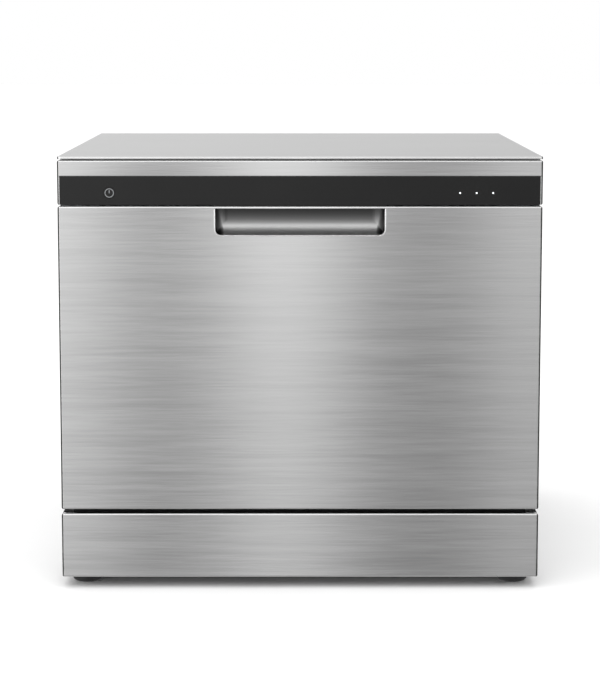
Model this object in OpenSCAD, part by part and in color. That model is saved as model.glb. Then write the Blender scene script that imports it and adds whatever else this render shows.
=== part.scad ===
// Countertop dishwasher with a drop-down door, a pull-out rack and a machine room under the tub.
// Frame: X across the width, the door faces -Y, +Z up. Origin: on the worktop under the middle of the casing.

/* [Casing] */
// Width over the side panels
width = 550; // [530:5:620]
// Depth from the door's face to the back panel
depth = 500; // [490:5:580]
// Height from the worktop to the top of the cover
height = 500; // [490:5:560]
// Thickness of the steel sheet
sheet_t = 1; // [0.8:0.1:1.2]
// Radius of the front panels' corners, seen from the front
corner_r = 3; // [2.5:0.5:6]
// Radius of the front panels' folded edges
edge_r = 2; // [1.5:0.5:3]
// Height of the top cover's turned-down edge
top_edge_h = 3; // [3:0.5:8]
// Width of the returns folded on the sheet panels
return_w = 11; // [8:1:11]
// Height of the plinth panel
plinth_h = 75; // [65:1:90]
// Gap between the plinth and the door
plinth_gap = 4.8; // [4.5:0.1:8]
// Gap between the door and the top cover
top_gap = 1.2; // [1:0.1:3]

/* [Feet] */
// Height of a foot under the plinth
foot_h = 13; // [10:1:20]
// Diameter of a foot's rubber pad
foot_d = 36; // [28:1:44]
// Distance from the casing's side to a foot's axis
foot_inset_x = 26; // [24:1:40]
// Distance from the front and from the back to a foot's axis
foot_inset_y = 40; // [36:1:60]

/* [Door] */
// Thickness of the door
door_t = 25; // [25:0.5:27]
// Gap between the door's back and the cabinet
door_gap = 3; // [2.5:0.5:6]
// Distance from the door's face to the hinge axis
hinge_setback = 12; // [11:0.5:13]
// Height of the hinge axis over the door's bottom edge
hinge_rise = 14; // [13:0.5:16]
// Radius of the hinge pin
hinge_pin_r = 5; // [4:0.5:5.5]
// Height of the control fascia
fascia_h = 50.8; // [48:0.2:56]
// Width of the seam between the fascia and the door panel
seam = 1.4; // [0.8:0.1:2.5]
// Height of the dark control band
band_h = 33; // [28:1:36]
// Width of the steel edge at each end of the control band
band_side = 2.6; // [2:0.2:6]
// Depth of the raised middle of the inner liner
liner_raise = 12; // [8:1:14]

/* [Grip] */
// Width of the grip recess
grip_w = 194; // [150:2:240]
// Height of the grip recess
grip_h = 31; // [26:1:36]
// Height of the steel strip over the grip recess
grip_strip = 2.7; // [2.5:0.1:5]
// Depth of the grip recess
grip_depth = 18; // [14:1:19]
// Radius of the grip recess's lower corners
grip_corner_r = 8; // [4:1:12]

/* [Controls] */
// Distance of the power key from the middle
key_x = 216; // [190:1:225]
// Radius of the power key
key_r = 6.6; // [6.2:0.1:7.6]
// Outer radius of the light ring in the power key
ring_r = 5.2; // [4:0.1:5.4]
// Travel of the power key
key_travel = 1.2; // [0.8:0.1:2]
// Distance of the middle indicator light from the middle
lights_x = 200; // [170:1:215]
// Distance between two indicator lights
lights_pitch = 18.7; // [14:0.1:20]
// Radius of an indicator light
light_r = 1; // [0.8:0.1:2]
// Height of the key and the lights over the fascia's bottom edge
controls_rise = 13.7; // [13.5:0.1:18]

/* [Tub] */
// Space between a side panel's outer face and the tub
tub_side_gap = 36; // [36:1:40]
// Space between the tub and the back panel's outer face
tub_back_gap = 45; // [42:1:60]
// Space between the tub and the underside of the top cover
tub_top_gap = 28; // [26:1:34]
// Height of the machine room under the tub
machine_room_h = 109; // [106:1:118]
// Width of the tub's front flange
flange_w = 17; // [16:0.5:18]
// Width of the door gasket
gasket_w = 10; // [8:1:11]

/* [Spray arm and filter] */
// Half length of the spray arm
spray_reach = 188; // [150:2:195]
// Height of the spray arm's lower side over the tub floor
spray_rise = 21; // [20:1:24]
// Radius of the spray arm's bearing
bearing_r = 10; // [9:0.5:11]
// Radius of the cylinder filter
filter_r = 33; // [28:1:36]
// Depth of the sump under the tub
sump_depth = 67; // [64:1:72]

/* [Rack] */
// Height of the rack's floor over the tub floor
rack_rise = 57; // [54:1:66]
// Height of the rack's rim over its floor
rack_h = 115; // [100:5:130]
// Radius of the rack's wires
wire_r = 1.8; // [1.4:0.1:2.2]
// Distance between neighbouring floor wires
wire_pitch = 30; // [24:1:40]
// Height of a plate tine
tine_h = 46; // [35:1:52]
// Clearance between the rack's front and the door's liner
rack_front_gap = 23; // [23:1:30]
// Height of the telescopic rails
rail_h = 20; // [16:1:24]

/* [Cutlery basket] */
// Width of the cutlery basket
cutlery_w = 140; // [110:5:150]
// Depth of the cutlery basket
cutlery_d = 60; // [50:2:70]
// Height of the cutlery basket
cutlery_h = 100; // [80:5:120]

/* [Water connections] */
// Radius over the thread of the inlet spigot, a 3/4 inch pipe thread
inlet_r = 13.2; // [13.2, 10.5]
// Radius of the drain spigot
drain_r = 10; // [8:0.5:11]
// Depth of the recess that holds the connections
recess_depth = 30; // [24:1:34]

/* [Hidden] */
$fn = 64;
arc_fn = 32;         // smoothness of folded edges
wire_sides = 8;      // sides of a rack wire
side_turn = 180 / wire_sides;
clear = 0.3;         // running gap between moving pieces that don't bear on each other
running = 0.05;      // radial clearance of a shaft in its bearing
eps = 1;             // how far a cut runs past a face

screw_r = 4;
screw_head_t = 2.2;
screw_hole_r = 1.6;
foot_stud_r = 5;
front_y = -depth / 2;
rear_y = depth / 2;
back_y = rear_y - screw_head_t;   // the back panel stands in by a screw head
half_w = width / 2;
inner_w = half_w - sheet_t;

// heights
plinth_z1 = foot_h + plinth_h;
door_z0 = plinth_z1 + plinth_gap;
top_z = height - top_edge_h;
door_z1 = top_z - top_gap;
fascia_z0 = door_z1 - fascia_h;
panel_z1 = fascia_z0 - seam;
casing_z0 = foot_h + 2;
pan_t = 3;
pan_z1 = casing_z0 + pan_t;
tub_z0 = pan_z1 + machine_room_h;
tub_z1 = top_z - tub_top_gap;
floor_z = tub_z0 + sheet_t;

// depths
door_back = front_y + door_t;
cabinet_y = door_back + door_gap;
axis_y = front_y + hinge_setback;
axis_z = door_z0 + hinge_rise;
chamfer = 8;          // the door's lower back edge is cut off to clear the cabinet
gasket_t = door_gap + 5.7;
flange_y = door_back + clear + gasket_t;
tub_y0 = flange_y + sheet_t;
tub_y1 = back_y - tub_back_gap;
raise_y = door_back + liner_raise;
raise_r = 25;

// tub
flange_z0 = tub_z0 - flange_w + 4;
flange_z1 = tub_z1 + flange_w - 4;
tub_x = half_w - tub_side_gap;
tub_in_x = tub_x - sheet_t;
tub_corner_r = 20;
ceiling_z = tub_z1 - sheet_t;
blanket_t = 3;

// raised middle of the door's liner
raise_x = tub_in_x - 9;
raise_z0 = floor_z + 22;
raise_z1 = ceiling_z - 10;

// hinges
eye_r = hinge_pin_r + 3;
bracket_t = 4;
bracket_x1 = half_w - 13;
bracket_x0 = bracket_x1 - bracket_t;
bracket_y1 = axis_y + 80;
leaf_t = 3;
leaf_x1 = bracket_x0 - 6;
leaf_x0 = leaf_x1 - leaf_t;
spring_wire_r = 0.9;
spring_turns = 7;
spring_pitch = 2.1;
spring_r = hinge_pin_r + 0.5 + spring_wire_r;
spring_x1 = leaf_x0 - 1.2;
spring_x0 = spring_x1 - spring_turns * spring_pitch - 2 * spring_wire_r;
pin_x0 = spring_x0 - 2;

// grip recess
grip_z1 = panel_z1 - grip_strip;
grip_z0 = grip_z1 - grip_h;
grip_wall = 2;
grip_lift = 7;        // how far the recess runs up behind the strip, for the fingertips
grip_hook = 5;        // thickness kept in front of the fingertips

// controls
band_z1 = fascia_z0 + band_h;
band_t = 2.2;
band_y0 = front_y + clear;
controls_z = fascia_z0 + controls_rise;
housing_z0 = grip_z1 + grip_lift + grip_wall + 1;
housing_y0 = band_y0 + band_t;
housing_y1 = front_y + 14;
housing_x1 = half_w - 12;
housing_t = 1.5;
board_t = 1.6;
board_y1 = housing_y1 - housing_t;
board_y0 = board_y1 - board_t;
switch_y = board_y0 - 3.5;
ring_w = 0.9;
key_gap = 0.25;
key_flange = 1.5;

// latch
latch_half_w = 26;
latch_z0 = flange_z1 - 8;
latch_z1 = latch_z0 + 20;
housing_z1 = latch_z0 - 1;
strike_half_w = 7;
strike_t = 3;
strike_z = flange_z1 + 3;
strike_reach = 16;
jaw_y = door_back - 9;
jaw_z = strike_z - 6.5;
jaw_r = 3;
jaw_pin_r = 1.5;

// dispenser on the door
dispenser_x0 = -80;
dispenser_x1 = 80;
dispenser_z0 = axis_z + 140;
dispenser_h = 88;
dispenser_lip = 10;
cup_w = 74;
cup_h = 36;
lid_travel = 38;
cap_r = 17;
cap_x = 48;
cap_z = dispenser_z0 + dispenser_h / 2;
dispenser_y0 = door_back - 12;
dispenser_y1 = raise_y + dispenser_lip;
lid_z0 = dispenser_z0 + 5;
lid_h = cup_h + 4;
track_t = 3;

// sump, pumps and pipes, placed from the spray hub
hub_y = -5;
sump_x0 = -50;
sump_side_room = 125; // room beside the sump, for the distributor and the inlet valve
sump_l = 150;
filter_inset = 55;    // from the sump's side to the middle of the filter
sump_x1 = half_w - sump_side_room;
sump_y0 = hub_y - sump_l / 3;
sump_y1 = sump_y0 + sump_l;
sump_z0 = tub_z0 - sump_depth;
sump_t = 2.5;
filter_x = sump_x1 - filter_inset;
filter_y = hub_y + 45;
hub_r = bearing_r + 2.5;
arm_z0 = floor_z + spray_rise;
boss_z0 = arm_z0 - 8;
pipe_r = 10;
bore_r = 8;
pump_y = hub_y + 26;
pump_z = sump_z0 + 25;
pump_pipe_l = 62;     // from the sump to the pump
volute_l = 25;
motor_room = 60;      // room between the motor and the side panel
pump_x1 = sump_x0 - pump_pipe_l;
pump_x0 = pump_x1 - volute_l;
volute_r = 37;
motor_r = 33;
motor_l = pump_x0 + half_w - motor_room;
outlet_x = (pump_x0 + pump_x1) / 2;
heater_r = 15;
heater_z = pan_z1 + 3 + heater_r;
heater_joint_z = heater_z + heater_r;
heater_x1 = -30;
elbow_r = 15;
drain_y = hub_y + 40;
drain_z = sump_z0 + 17;
drain_volute_r = 22;
drain_pump_w = 26;
drain_x = sump_x1 + drain_pump_w / 2;
drain_pipe_z = drain_z + drain_volute_r - drain_r;
drain_joint_y = drain_y + drain_volute_r + 4;

// recess for the connections at the back
recess_x1 = half_w - 25;
recess_x0 = recess_x1 - 150;
recess_z0 = drain_pipe_z - 30;
recess_z1 = drain_pipe_z + 28;
recess_wall = 2;
recess_cut = [8, 5];  // how far the back panel is cut back around the recess
recess_lap = 3;       // lap of the tray's flange behind the back panel
recess_y0 = back_y - sheet_t - recess_depth;
connection_z = drain_pipe_z;
inlet_x = recess_x1 - 28;
gland_x = recess_x0 + 24;
gland_r = 9;
spigot_l = 18;        // length of a hose's seat
drain_run_r = drain_r - 0.8;
cord_r = 4;

// water distributor beside the tub
chamber_x0 = tub_x + blanket_t;
chamber_x1 = half_w - 7;
chamber_y0 = -60;
chamber_y1 = tub_y1 - 5;
chamber_z0 = tub_z0 + 22;
chamber_z1 = tub_z1 - 70;
chamber_pipe_x = (chamber_x0 + chamber_x1) / 2;
chamber_pipe_y = tub_y1 - 20;
vent_y = 60;
vent_z = chamber_z1 - 42;
vent_r = 27;
vent_hole_r = 14;

// rack, rails and basket
rack_z0 = floor_z + rack_rise;
rack_z1 = rack_z0 + rack_h;
rail_z0 = rack_z1 - 18 - rail_h;
rail_z1 = rail_z0 + rail_h;
rail_t = 8;
rail_x0 = tub_in_x - rail_t;
slide_t = 5.7;
slide_x0 = rail_x0 - clear - slide_t;
runner_t = 5;
runner_x0 = slide_x0 - clear - runner_t;
tongue = 3;
rack_x = runner_x0 - 7;
rack_y0 = raise_y + rack_front_gap;
rack_y1 = tub_y1 - 16;
rack_slope_y = 25;    // set-back of the floor's front edge
rack_slope_z = 40;    // height over which the front slopes
rail_y0 = rack_y0 - 6;
rail_y1 = tub_y1 - 12;
slide_l = 310;        // from the rack's front to the rear end of its slides
slide_y1 = rack_y0 + slide_l;
floor_wire_z = rack_z0 + 1.6 * wire_r;
rim_r = wire_r + 0.4;
tine_r = wire_r - 0.2;
tine_y = [rack_y0 + 120, rack_y0 + 185];
fold_back = 270;      // from the rack's front to the folding tines
fold_y = rack_y0 + fold_back;
weld_gap = 0.05;      // hairline between the mats of the rack, which are welded in the real one
flat_in = cos(side_turn);  // how far out a wire's flat sides are, of its radius
mat_z1 = floor_wire_z + wire_r + 1;
comb_z = rack_z0 + 2 * wire_r * flat_in + weld_gap;
pivot_r = 2;
pivot_eye_r = 5;
fold_z = floor_wire_z + wire_r + pivot_r + 2.2;
shelf_x = -rack_x + 9;
shelf_z = rack_z1 + 8;
shelf_w = 112;
shelf_y0 = rack_y0 + 90;
shelf_y1 = shelf_y0 + 240;
cutlery_x1 = rack_x - 12;
cutlery_x0 = cutlery_x1 - cutlery_w;
cutlery_y0 = rack_y0 + 8 + rack_slope_y;
cutlery_z0 = floor_wire_z + wire_r + clear;
basket_t = 1.6;

// float and its switch
float_inset = 95;     // from the machine's side to the float
float_x = float_inset - half_w;
float_y = -95;
float_r = 20;
float_stem_r = 4;
float_travel = 8;
float_z0 = pan_z1 + clear;
float_stem_z1 = pan_z1 + 28;

// ---- helpers: shapes drawn between two corners or along one axis ----

module box(low, high) {
    translate(low)
        cube(high - low);
}

// A flat shape in (y, z), pushed along X.
module along_x(x0, x1) {
    translate([x0, 0, 0])
        rotate([90, 0, 90])
            linear_extrude(x1 - x0)
                children();
}

// A flat shape in (x, z), pushed along Y.
module along_y(y0, y1) {
    translate([0, y1, 0])
        rotate([90, 0, 0])
            linear_extrude(y1 - y0)
                children();
}

// A flat shape in (x, y), pushed along Z.
module along_z(z0, z1) {
    translate([0, 0, z0])
        linear_extrude(z1 - z0)
            children();
}

module rod_x(x0, x1, y, z, r) {
    translate([x0, y, z])
        rotate([0, 90, 0])
            cylinder(h = x1 - x0, r = r);
}

module rod_y(y0, y1, x, z, r) {
    translate([x, y0, z])
        rotate([-90, 0, 0])
            cylinder(h = y1 - y0, r = r);
}

module rod_z(z0, z1, x, y, r) {
    translate([x, y, z0])
        cylinder(h = z1 - z0, r = r);
}

module both_sides() {
    children();
    mirror([1, 0, 0])
        children();
}

module rectangle(low, high) {
    translate(low)
        square(high - low);
}

module rounded(low, high, r) {
    offset(r = r, $fn = arc_fn)
        rectangle(low + [r, r], high - [r, r]);
}

// A rectangle whose two corners on the low side of its first axis are rounded.
module front_rounded(low, high, r) {
    rounded(low, high, r);
    rectangle([low.x + 2 * r, low.y], high);
}

// A block from the front plane back to y1, with rounded front edges and rounded corners.
module front_slab(z0, z1, y1) {
    intersection() {
        along_y(front_y, y1)
            rounded([-half_w, z0], [half_w, z1], corner_r);
        along_x(-half_w, half_w)
            front_rounded([front_y, z0], [y1, z1], edge_r);
        along_z(z0, z1)
            rotate(90)
                front_rounded([front_y, -half_w], [y1, half_w], edge_r);
    }
}

// The hollow behind a folded front sheet that is sheet_t thick.
module front_hollow(z0, z1, y1) {
    along_y(front_y + sheet_t, y1)
        rounded([-inner_w, z0 + sheet_t], [inner_w, z1 - sheet_t], corner_r - sheet_t);
}

// ---- casing ----

module base_pan() {
    wall_z1 = casing_z0 + 34;
    front_z1 = axis_z - eye_r - 1;
    y0 = cabinet_y + sheet_t;
    y1 = back_y - 2 * sheet_t;
    ledge_z1 = plinth_z1 - 5;
    ledge_x = inner_w - return_w - 1;
    color("dimgray")
        difference() {
            union() {
                difference() {
                    box([-inner_w, y0, casing_z0], [inner_w, y1, front_z1]);
                    box([-inner_w + pan_t, y0 + pan_t, pan_z1], [inner_w - pan_t, y1 - pan_t, front_z1 + eps]);
                    box([-inner_w - eps, y0 + pan_t, wall_z1], [inner_w + eps, y1 + eps, front_z1 + eps]);
                }
                box([-ledge_x, front_y + sheet_t, ledge_z1 - pan_t], [ledge_x, y0 + eps, ledge_z1]);
                both_sides() {
                    // a wall that carries the tub, and the block that holds the hinge bracket
                    box([tub_in_x - pan_t, tub_y0 + 20, pan_z1 - eps], [tub_in_x, tub_y1 - 60, tub_z0]);
                    box([bracket_x1, flange_y - 1, pan_z1 - eps], [inner_w, bracket_y1 + 8, axis_z + eye_r + 3]);
                }
            }
            foot_places()
                cylinder(h = pan_z1 + eps, r = foot_stud_r);
        }
}

module foot_places() {
    for (x = [-half_w + foot_inset_x, half_w - foot_inset_x], y = [front_y + foot_inset_y, back_y - foot_inset_y])
        translate([x, y, 0])
            children();
}

module feet() {
    r = foot_d / 2;
    round_r = 4;
    color([0.1, 0.1, 0.1])
        foot_places() {
            rotate_extrude()
                intersection() {
                    square([r, casing_z0]);
                    offset(r = round_r, $fn = arc_fn)
                        rectangle([-r, round_r], [r - round_r, 2 * casing_z0]);
                }
            translate([0, 0, casing_z0 - eps])
                cylinder(h = pan_t + 6 + eps, r = foot_stud_r);
        }
}

module plinth() {
    lip = edge_r + 4;
    color("silver")
        difference() {
            front_slab(foot_h, plinth_z1, cabinet_y);
            front_hollow(foot_h, plinth_z1, cabinet_y + eps);
            box([-inner_w, front_y + lip, foot_h - eps], [inner_w, cabinet_y + eps, plinth_z1 + eps]);
        }
}

module side_panel() {
    y1 = back_y - sheet_t;
    return_x = inner_w - return_w;
    box([inner_w, cabinet_y, casing_z0], [half_w, y1, top_z]);
    box([return_x, cabinet_y, casing_z0], [half_w, cabinet_y + sheet_t, top_z]);
    box([return_x, y1 - sheet_t, casing_z0], [half_w, y1, top_z]);
}

module side_panel_left() {
    color("silver")
        mirror([1, 0, 0])
            side_panel();
}

module side_panel_right() {
    color("silver")
        side_panel();
}

module back_panel() {
    slot_w = 70;
    slot_h = 4;
    slot_pitch = 12;
    slots_z = tub_z1 - 60;
    color("lightgray")
        difference() {
            box([-half_w, back_y - sheet_t, casing_z0], [half_w, back_y, top_z]);
            along_y(back_y - 2 * sheet_t, back_y + eps)
                rectangle([recess_x0, recess_z0] - recess_cut, [recess_x1, recess_z1] + recess_cut);
            for (x = [-150, 150], row = [0 : 5])
                along_y(back_y - 2 * sheet_t, back_y + eps)
                    rounded([x - slot_w / 2, slots_z - row * slot_pitch],
                        [x + slot_w / 2, slots_z + slot_h - row * slot_pitch], slot_h / 2 - 0.1);
            screw_places()
                rod_y(back_y - 2 * sheet_t, back_y + eps, 0, 0, screw_hole_r);
        }
}

// The screws that hold the back panel stand along the rear returns of the side panels.
module screw_places() {
    for (x = [-inner_w + return_w / 2, inner_w - return_w / 2], z = [casing_z0 + 60, top_z / 2, top_z - 40])
        translate([x, 0, z])
            children();
}

module casing_screws() {
    cross_r = screw_r - 1.5;
    color("gainsboro")
        screw_places() {
            difference() {
                rod_y(back_y, rear_y, 0, 0, screw_r);
                for (turn = [0, 90])
                    rotate([0, turn, 0])
                        box([-cross_r, rear_y - 1, -0.5], [cross_r, rear_y + eps, 0.5]);
            }
            rod_y(back_y - sheet_t, back_y + 0.5, 0, 0, screw_hole_r);
        }
}

module top_cover() {
    rim = screw_head_t + 0.8;
    color("silver")
        difference() {
            intersection() {
                along_z(top_z, height)
                    rounded([-half_w, front_y], [half_w, rear_y], corner_r + 1);
                along_x(-half_w, half_w)
                    rotate(90)
                        mirror([0, 1])
                            top_rounded(front_y, rear_y);
                along_y(front_y, rear_y)
                    rotate(90)
                        mirror([0, 1])
                            top_rounded(-half_w, half_w);
            }
            along_z(top_z - eps, height - sheet_t)
                rounded([-half_w + rim, front_y + rim], [half_w - rim, rear_y - rim], corner_r);
        }
}

// The section of the cover with its upper corners rounded, drawn as (height, place) and turned by its user.
module top_rounded(low, high) {
    r = sheet_t * 1.3;
    rounded([top_z, low], [height, high], r);
    rectangle([top_z, low], [height - r, high]);
}

module front_crossbar() {
    lap = 11;
    color("lightgray") {
        box([-inner_w, tub_y0, flange_z1 - lap], [inner_w, tub_y0 + sheet_t, top_z]);
        box([-inner_w, cabinet_y + sheet_t, top_z - sheet_t], [inner_w, tub_y0 + 25, top_z]);
    }
}

module latch_strike() {
    base_half_w = 14;
    base_t = 3;
    eye_half_w = 3;
    tip_y = door_back - strike_reach;
    color("gainsboro") {
        box([-base_half_w, tub_y0 - base_t, strike_z - 1.5], [base_half_w, tub_y0, strike_z + strike_t + 4]);
        difference() {
            box([-strike_half_w, tip_y, strike_z], [strike_half_w, tub_y0, strike_z + strike_t]);
            box([-eye_half_w, tip_y + 4, strike_z - eps], [eye_half_w, tip_y + 9, strike_z + strike_t + eps]);
        }
    }
}

// ---- tub ----

module tub() {
    color("gainsboro")
        difference() {
            union() {
                along_y(flange_y, tub_y0)
                    rounded([-tub_x - flange_w, flange_z0], [tub_x + flange_w, flange_z1], tub_corner_r);
                along_y(flange_y, tub_y1)
                    rounded([-tub_x, tub_z0], [tub_x, tub_z1], tub_corner_r);
            }
            along_y(flange_y - eps, tub_y1 - sheet_t)
                rounded([-tub_in_x, floor_z], [tub_in_x, ceiling_z], tub_corner_r - sheet_t);
            along_z(tub_z0 - eps, floor_z + eps)
                rounded([sump_x0 + sump_t, sump_y0 + sump_t], [sump_x1 - sump_t, sump_y1 - sump_t], 22);
            rod_x(tub_in_x - eps, tub_x + eps, vent_y, vent_z, vent_hole_r);
        }
}

module tub_gasket() {
    inset = 2;
    color([0.15, 0.15, 0.16])
        along_y(door_back + clear, flange_y)
            difference() {
                rounded([-tub_in_x - inset - gasket_w, floor_z - inset - gasket_w],
                    [tub_in_x + inset + gasket_w, ceiling_z + inset + gasket_w], tub_corner_r + gasket_w);
                rounded([-tub_in_x - inset, floor_z - inset], [tub_in_x + inset, ceiling_z + inset], tub_corner_r);
            }
}

module sound_blanket() {
    y0 = tub_y0 + 15;
    y1 = tub_y1 - 5;
    color([0.2, 0.2, 0.22])
        difference() {
            box([-chamber_x0, y0, tub_z0 + tub_corner_r], [chamber_x0, y1, tub_z1 + blanket_t]);
            along_y(y0 - eps, y1 + eps)
                rounded([-tub_x, tub_z0], [tub_x, tub_z1], tub_corner_r);
            rod_x(tub_x - eps, chamber_x0 + eps, vent_y, vent_z, vent_hole_r + 1);
        }
}

module sump() {
    lip = 12;
    color([0.25, 0.25, 0.27])
        difference() {
            union() {
                along_z(sump_z0, tub_z0)
                    rounded([sump_x0, sump_y0], [sump_x1, sump_y1], 24);
                along_z(tub_z0 - 3, tub_z0)
                    rounded([sump_x0 - lip, sump_y0 - lip], [sump_x1 + lip, sump_y1 + lip], 24 + lip);
            }
            along_z(sump_z0 + sump_t, tub_z0 + eps)
                rounded([sump_x0 + sump_t, sump_y0 + sump_t], [sump_x1 - sump_t, sump_y1 - sump_t], 22);
            rod_z(sump_z0 - eps, sump_z0 + sump_t + eps, 0, hub_y, hub_r);
            rod_x(sump_x0 - eps, sump_x0 + sump_t + eps, pump_y, pump_z, bore_r + 3);
            rod_x(sump_x1 - sump_t - eps, sump_x1 + eps, drain_y, drain_z, bore_r);
        }
}

module filter_plate() {
    lap = 8;
    color("gainsboro")
        difference() {
            along_z(floor_z, floor_z + sheet_t)
                rounded([sump_x0 - lap, sump_y0 - lap], [sump_x1 + lap, sump_y1 + lap], 24);
            rod_z(floor_z - eps, floor_z + sheet_t + eps, 0, hub_y, hub_r + clear);
            rod_z(floor_z - eps, floor_z + sheet_t + eps, filter_x, filter_y, filter_r + clear);
        }
}

module filter_cylinder() {
    wall = 1.5;
    flange_z = floor_z + sheet_t + clear;
    flange_t = 2.5;
    grip_top = flange_z + flange_t + 8;
    color([0.75, 0.77, 0.8]) {
        difference() {
            union() {
                rod_z(sump_z0 + sump_t + clear, flange_z + flange_t, filter_x, filter_y, filter_r);
                rod_z(flange_z, flange_z + flange_t, filter_x, filter_y, filter_r + 4);
            }
            rod_z(sump_z0 + sump_t + clear + wall, flange_z + flange_t + eps, filter_x, filter_y, filter_r - wall);
        }
        translate([filter_x, filter_y, 0]) {
            box([-filter_r + wall / 2, -2.5, flange_z], [filter_r - wall / 2, 2.5, flange_z + flange_t]);
            box([-filter_r / 2, -2.5, flange_z], [filter_r / 2, 2.5, grip_top]);
        }
    }
}

module spray_hub() {
    color([0.3, 0.3, 0.32])
        difference() {
            union() {
                rod_z(sump_z0, boss_z0 - clear, 0, hub_y, hub_r);
                rod_z(sump_z0 + sump_t, sump_z0 + sump_t + 4, 0, hub_y, hub_r + 8);
                rod_z(boss_z0 - eps, arm_z0 + 6, 0, hub_y, bearing_r);
            }
            rod_z(sump_z0 - eps, arm_z0 + 6 + eps, 0, hub_y, bore_r - 1);
        }
}

module spray_arm() {
    boss_r = bearing_r + 8;
    boss_z1 = arm_z0 + 14;
    blade_t = 11;
    root_w = 30;
    tip_w = 20;
    color([0.8, 0.82, 0.84])
        difference() {
            union() {
                rod_z(boss_z0, boss_z1, 0, hub_y, boss_r);
                translate([0, hub_y, 0])
                    for (side = [0, 180])
                        rotate(side)
                            along_z(arm_z0, arm_z0 + blade_t)
                                spray_blade_outline(root_w, tip_w);
                rod_z(boss_z1 - eps, boss_z1 + 4, 0, hub_y, bearing_r + 2);
            }
            rod_z(boss_z0 - eps, arm_z0 + 7, 0, hub_y, bearing_r + running);
            translate([0, hub_y, 0])
                for (side = [0, 180], step = [1 : 5])
                    rotate(side)
                        translate([boss_r + step * (spray_reach - boss_r - 12) / 5, 0, arm_z0 + blade_t - 1.5])
                            cylinder(h = 3, r = 1.6);
        }
}

module spray_blade_outline(root_w, tip_w) {
    tip_x = spray_reach - tip_w / 2;
    polygon([[0, -root_w / 2], [tip_x, -tip_w / 2], [tip_x, tip_w / 2], [0, root_w / 2]]);
    translate([tip_x, 0])
        circle(r = tip_w / 2, $fn = arc_fn);
}

// ---- machine room ----

module wash_pump() {
    shaft_len = 22;
    color([0.22, 0.22, 0.24])
        difference() {
            union() {
                rod_x(pump_x0, pump_x1, pump_y, pump_z, volute_r);
                rod_x(pump_x0 - motor_l, pump_x0 + eps, pump_y, pump_z, motor_r);
                rod_x(pump_x1 - eps, sump_x0, pump_y, pump_z, bore_r + 6);
                rod_z(heater_joint_z, pump_z, outlet_x, hub_y, pipe_r);
            }
            rod_x(pump_x0 + 3, pump_x1 - 3, pump_y, pump_z, volute_r - 3);
            rod_x(pump_x1 - 3 - eps, sump_x0 + eps, pump_y, pump_z, bore_r + 3);
            rod_z(heater_joint_z - eps, pump_z, outlet_x, hub_y, bore_r);
            rod_x(pump_x0 - shaft_len, pump_x0 + 3 + eps, pump_y, pump_z, 3 + running);
        }
}

// A pump wheel on its shaft: the shaft runs towards -X when dir is -1.
module pump_wheel(x0, x1, y, z, r, blades, shaft_r, shaft_x0, shaft_x1) {
    disc_t = 2;
    rod_x(x0, x0 + disc_t, y, z, r);
    rod_x(x0, x1, y, z, shaft_r + 2.5);
    rod_x(shaft_x0, shaft_x1, y, z, shaft_r);
    for (i = [0 : blades - 1])
        translate([0, y, z])
            rotate([i * 360 / blades, 0, 0])
                box([x0, -1, shaft_r], [x1, 1, r - 1]);
}

module wash_rotor() {
    color("white")
        pump_wheel(pump_x0 + 4.5, pump_x1 - 5, pump_y, pump_z, volute_r - 7, 6, 3, pump_x0 - 20, pump_x0 + 5.5);
}

module flow_heater() {
    color("lightgray")
        difference() {
            union() {
                rod_x(outlet_x - heater_r - 3, heater_x1, hub_y, heater_z, heater_r);
                rod_z(heater_z, heater_joint_z, outlet_x, hub_y, pipe_r);
                rod_x(heater_x1 - eps, -elbow_r, hub_y, heater_z, pipe_r);
                box([outlet_x - 12, hub_y - 9, pan_z1], [outlet_x + 2, hub_y + 9, heater_z]);
            }
            rod_x(outlet_x - heater_r, heater_x1 - 3, hub_y, heater_z, heater_r - 2);
            rod_z(heater_z, heater_joint_z + eps, outlet_x, hub_y, bore_r);
            rod_x(heater_x1 - 3 - eps, -elbow_r + eps, hub_y, heater_z, bore_r);
        }
}

module feed_pipe() {
    color([0.2, 0.2, 0.2])
        difference() {
            feed_run(pipe_r, 0);
            feed_run(bore_r, eps);
        }
}

module feed_run(r, over) {
    translate([-elbow_r, hub_y, heater_z + elbow_r])
        rotate([90, 0, 0])
            rotate([0, 0, -90])
                rotate_extrude(angle = 90)
                    translate([elbow_r, 0])
                        circle(r = r);
    rod_z(heater_z + elbow_r, sump_z0 + over, 0, hub_y, r);
    if (over > 0)
        rod_x(-elbow_r - over, -elbow_r, hub_y, heater_z, r);
}

module drain_pump() {
    wall = 2.5;
    x1 = sump_x1 + drain_pump_w;
    color([0.22, 0.22, 0.24])
        difference() {
            union() {
                rod_x(sump_x1, x1, drain_y, drain_z, drain_volute_r);
                rod_x(x1 - eps, x1 + 46, drain_y, drain_z, drain_volute_r - 3);
                rod_y(drain_y, drain_joint_y, drain_x, drain_pipe_z, drain_r);
            }
            rod_x(sump_x1 + wall, x1 - wall, drain_y, drain_z, drain_volute_r - 3);
            rod_x(sump_x1 - eps, sump_x1 + wall + eps, drain_y, drain_z, bore_r);
            rod_y(drain_y, drain_joint_y + eps, drain_x, drain_pipe_z, drain_r - 2.5);
            rod_x(x1 - wall - eps, x1 + 20, drain_y, drain_z, 2.5 + running);
        }
}

module drain_rotor() {
    x1 = sump_x1 + drain_pump_w;
    color("white")
        translate([2 * x1 - 7.5, 0, 0])
            mirror([1, 0, 0])
                pump_wheel(x1 - 3.5, x1 + 10, drain_y, drain_z, drain_volute_r - 6, 4, 2.5, x1 - 25, x1 - 3);
}

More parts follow.
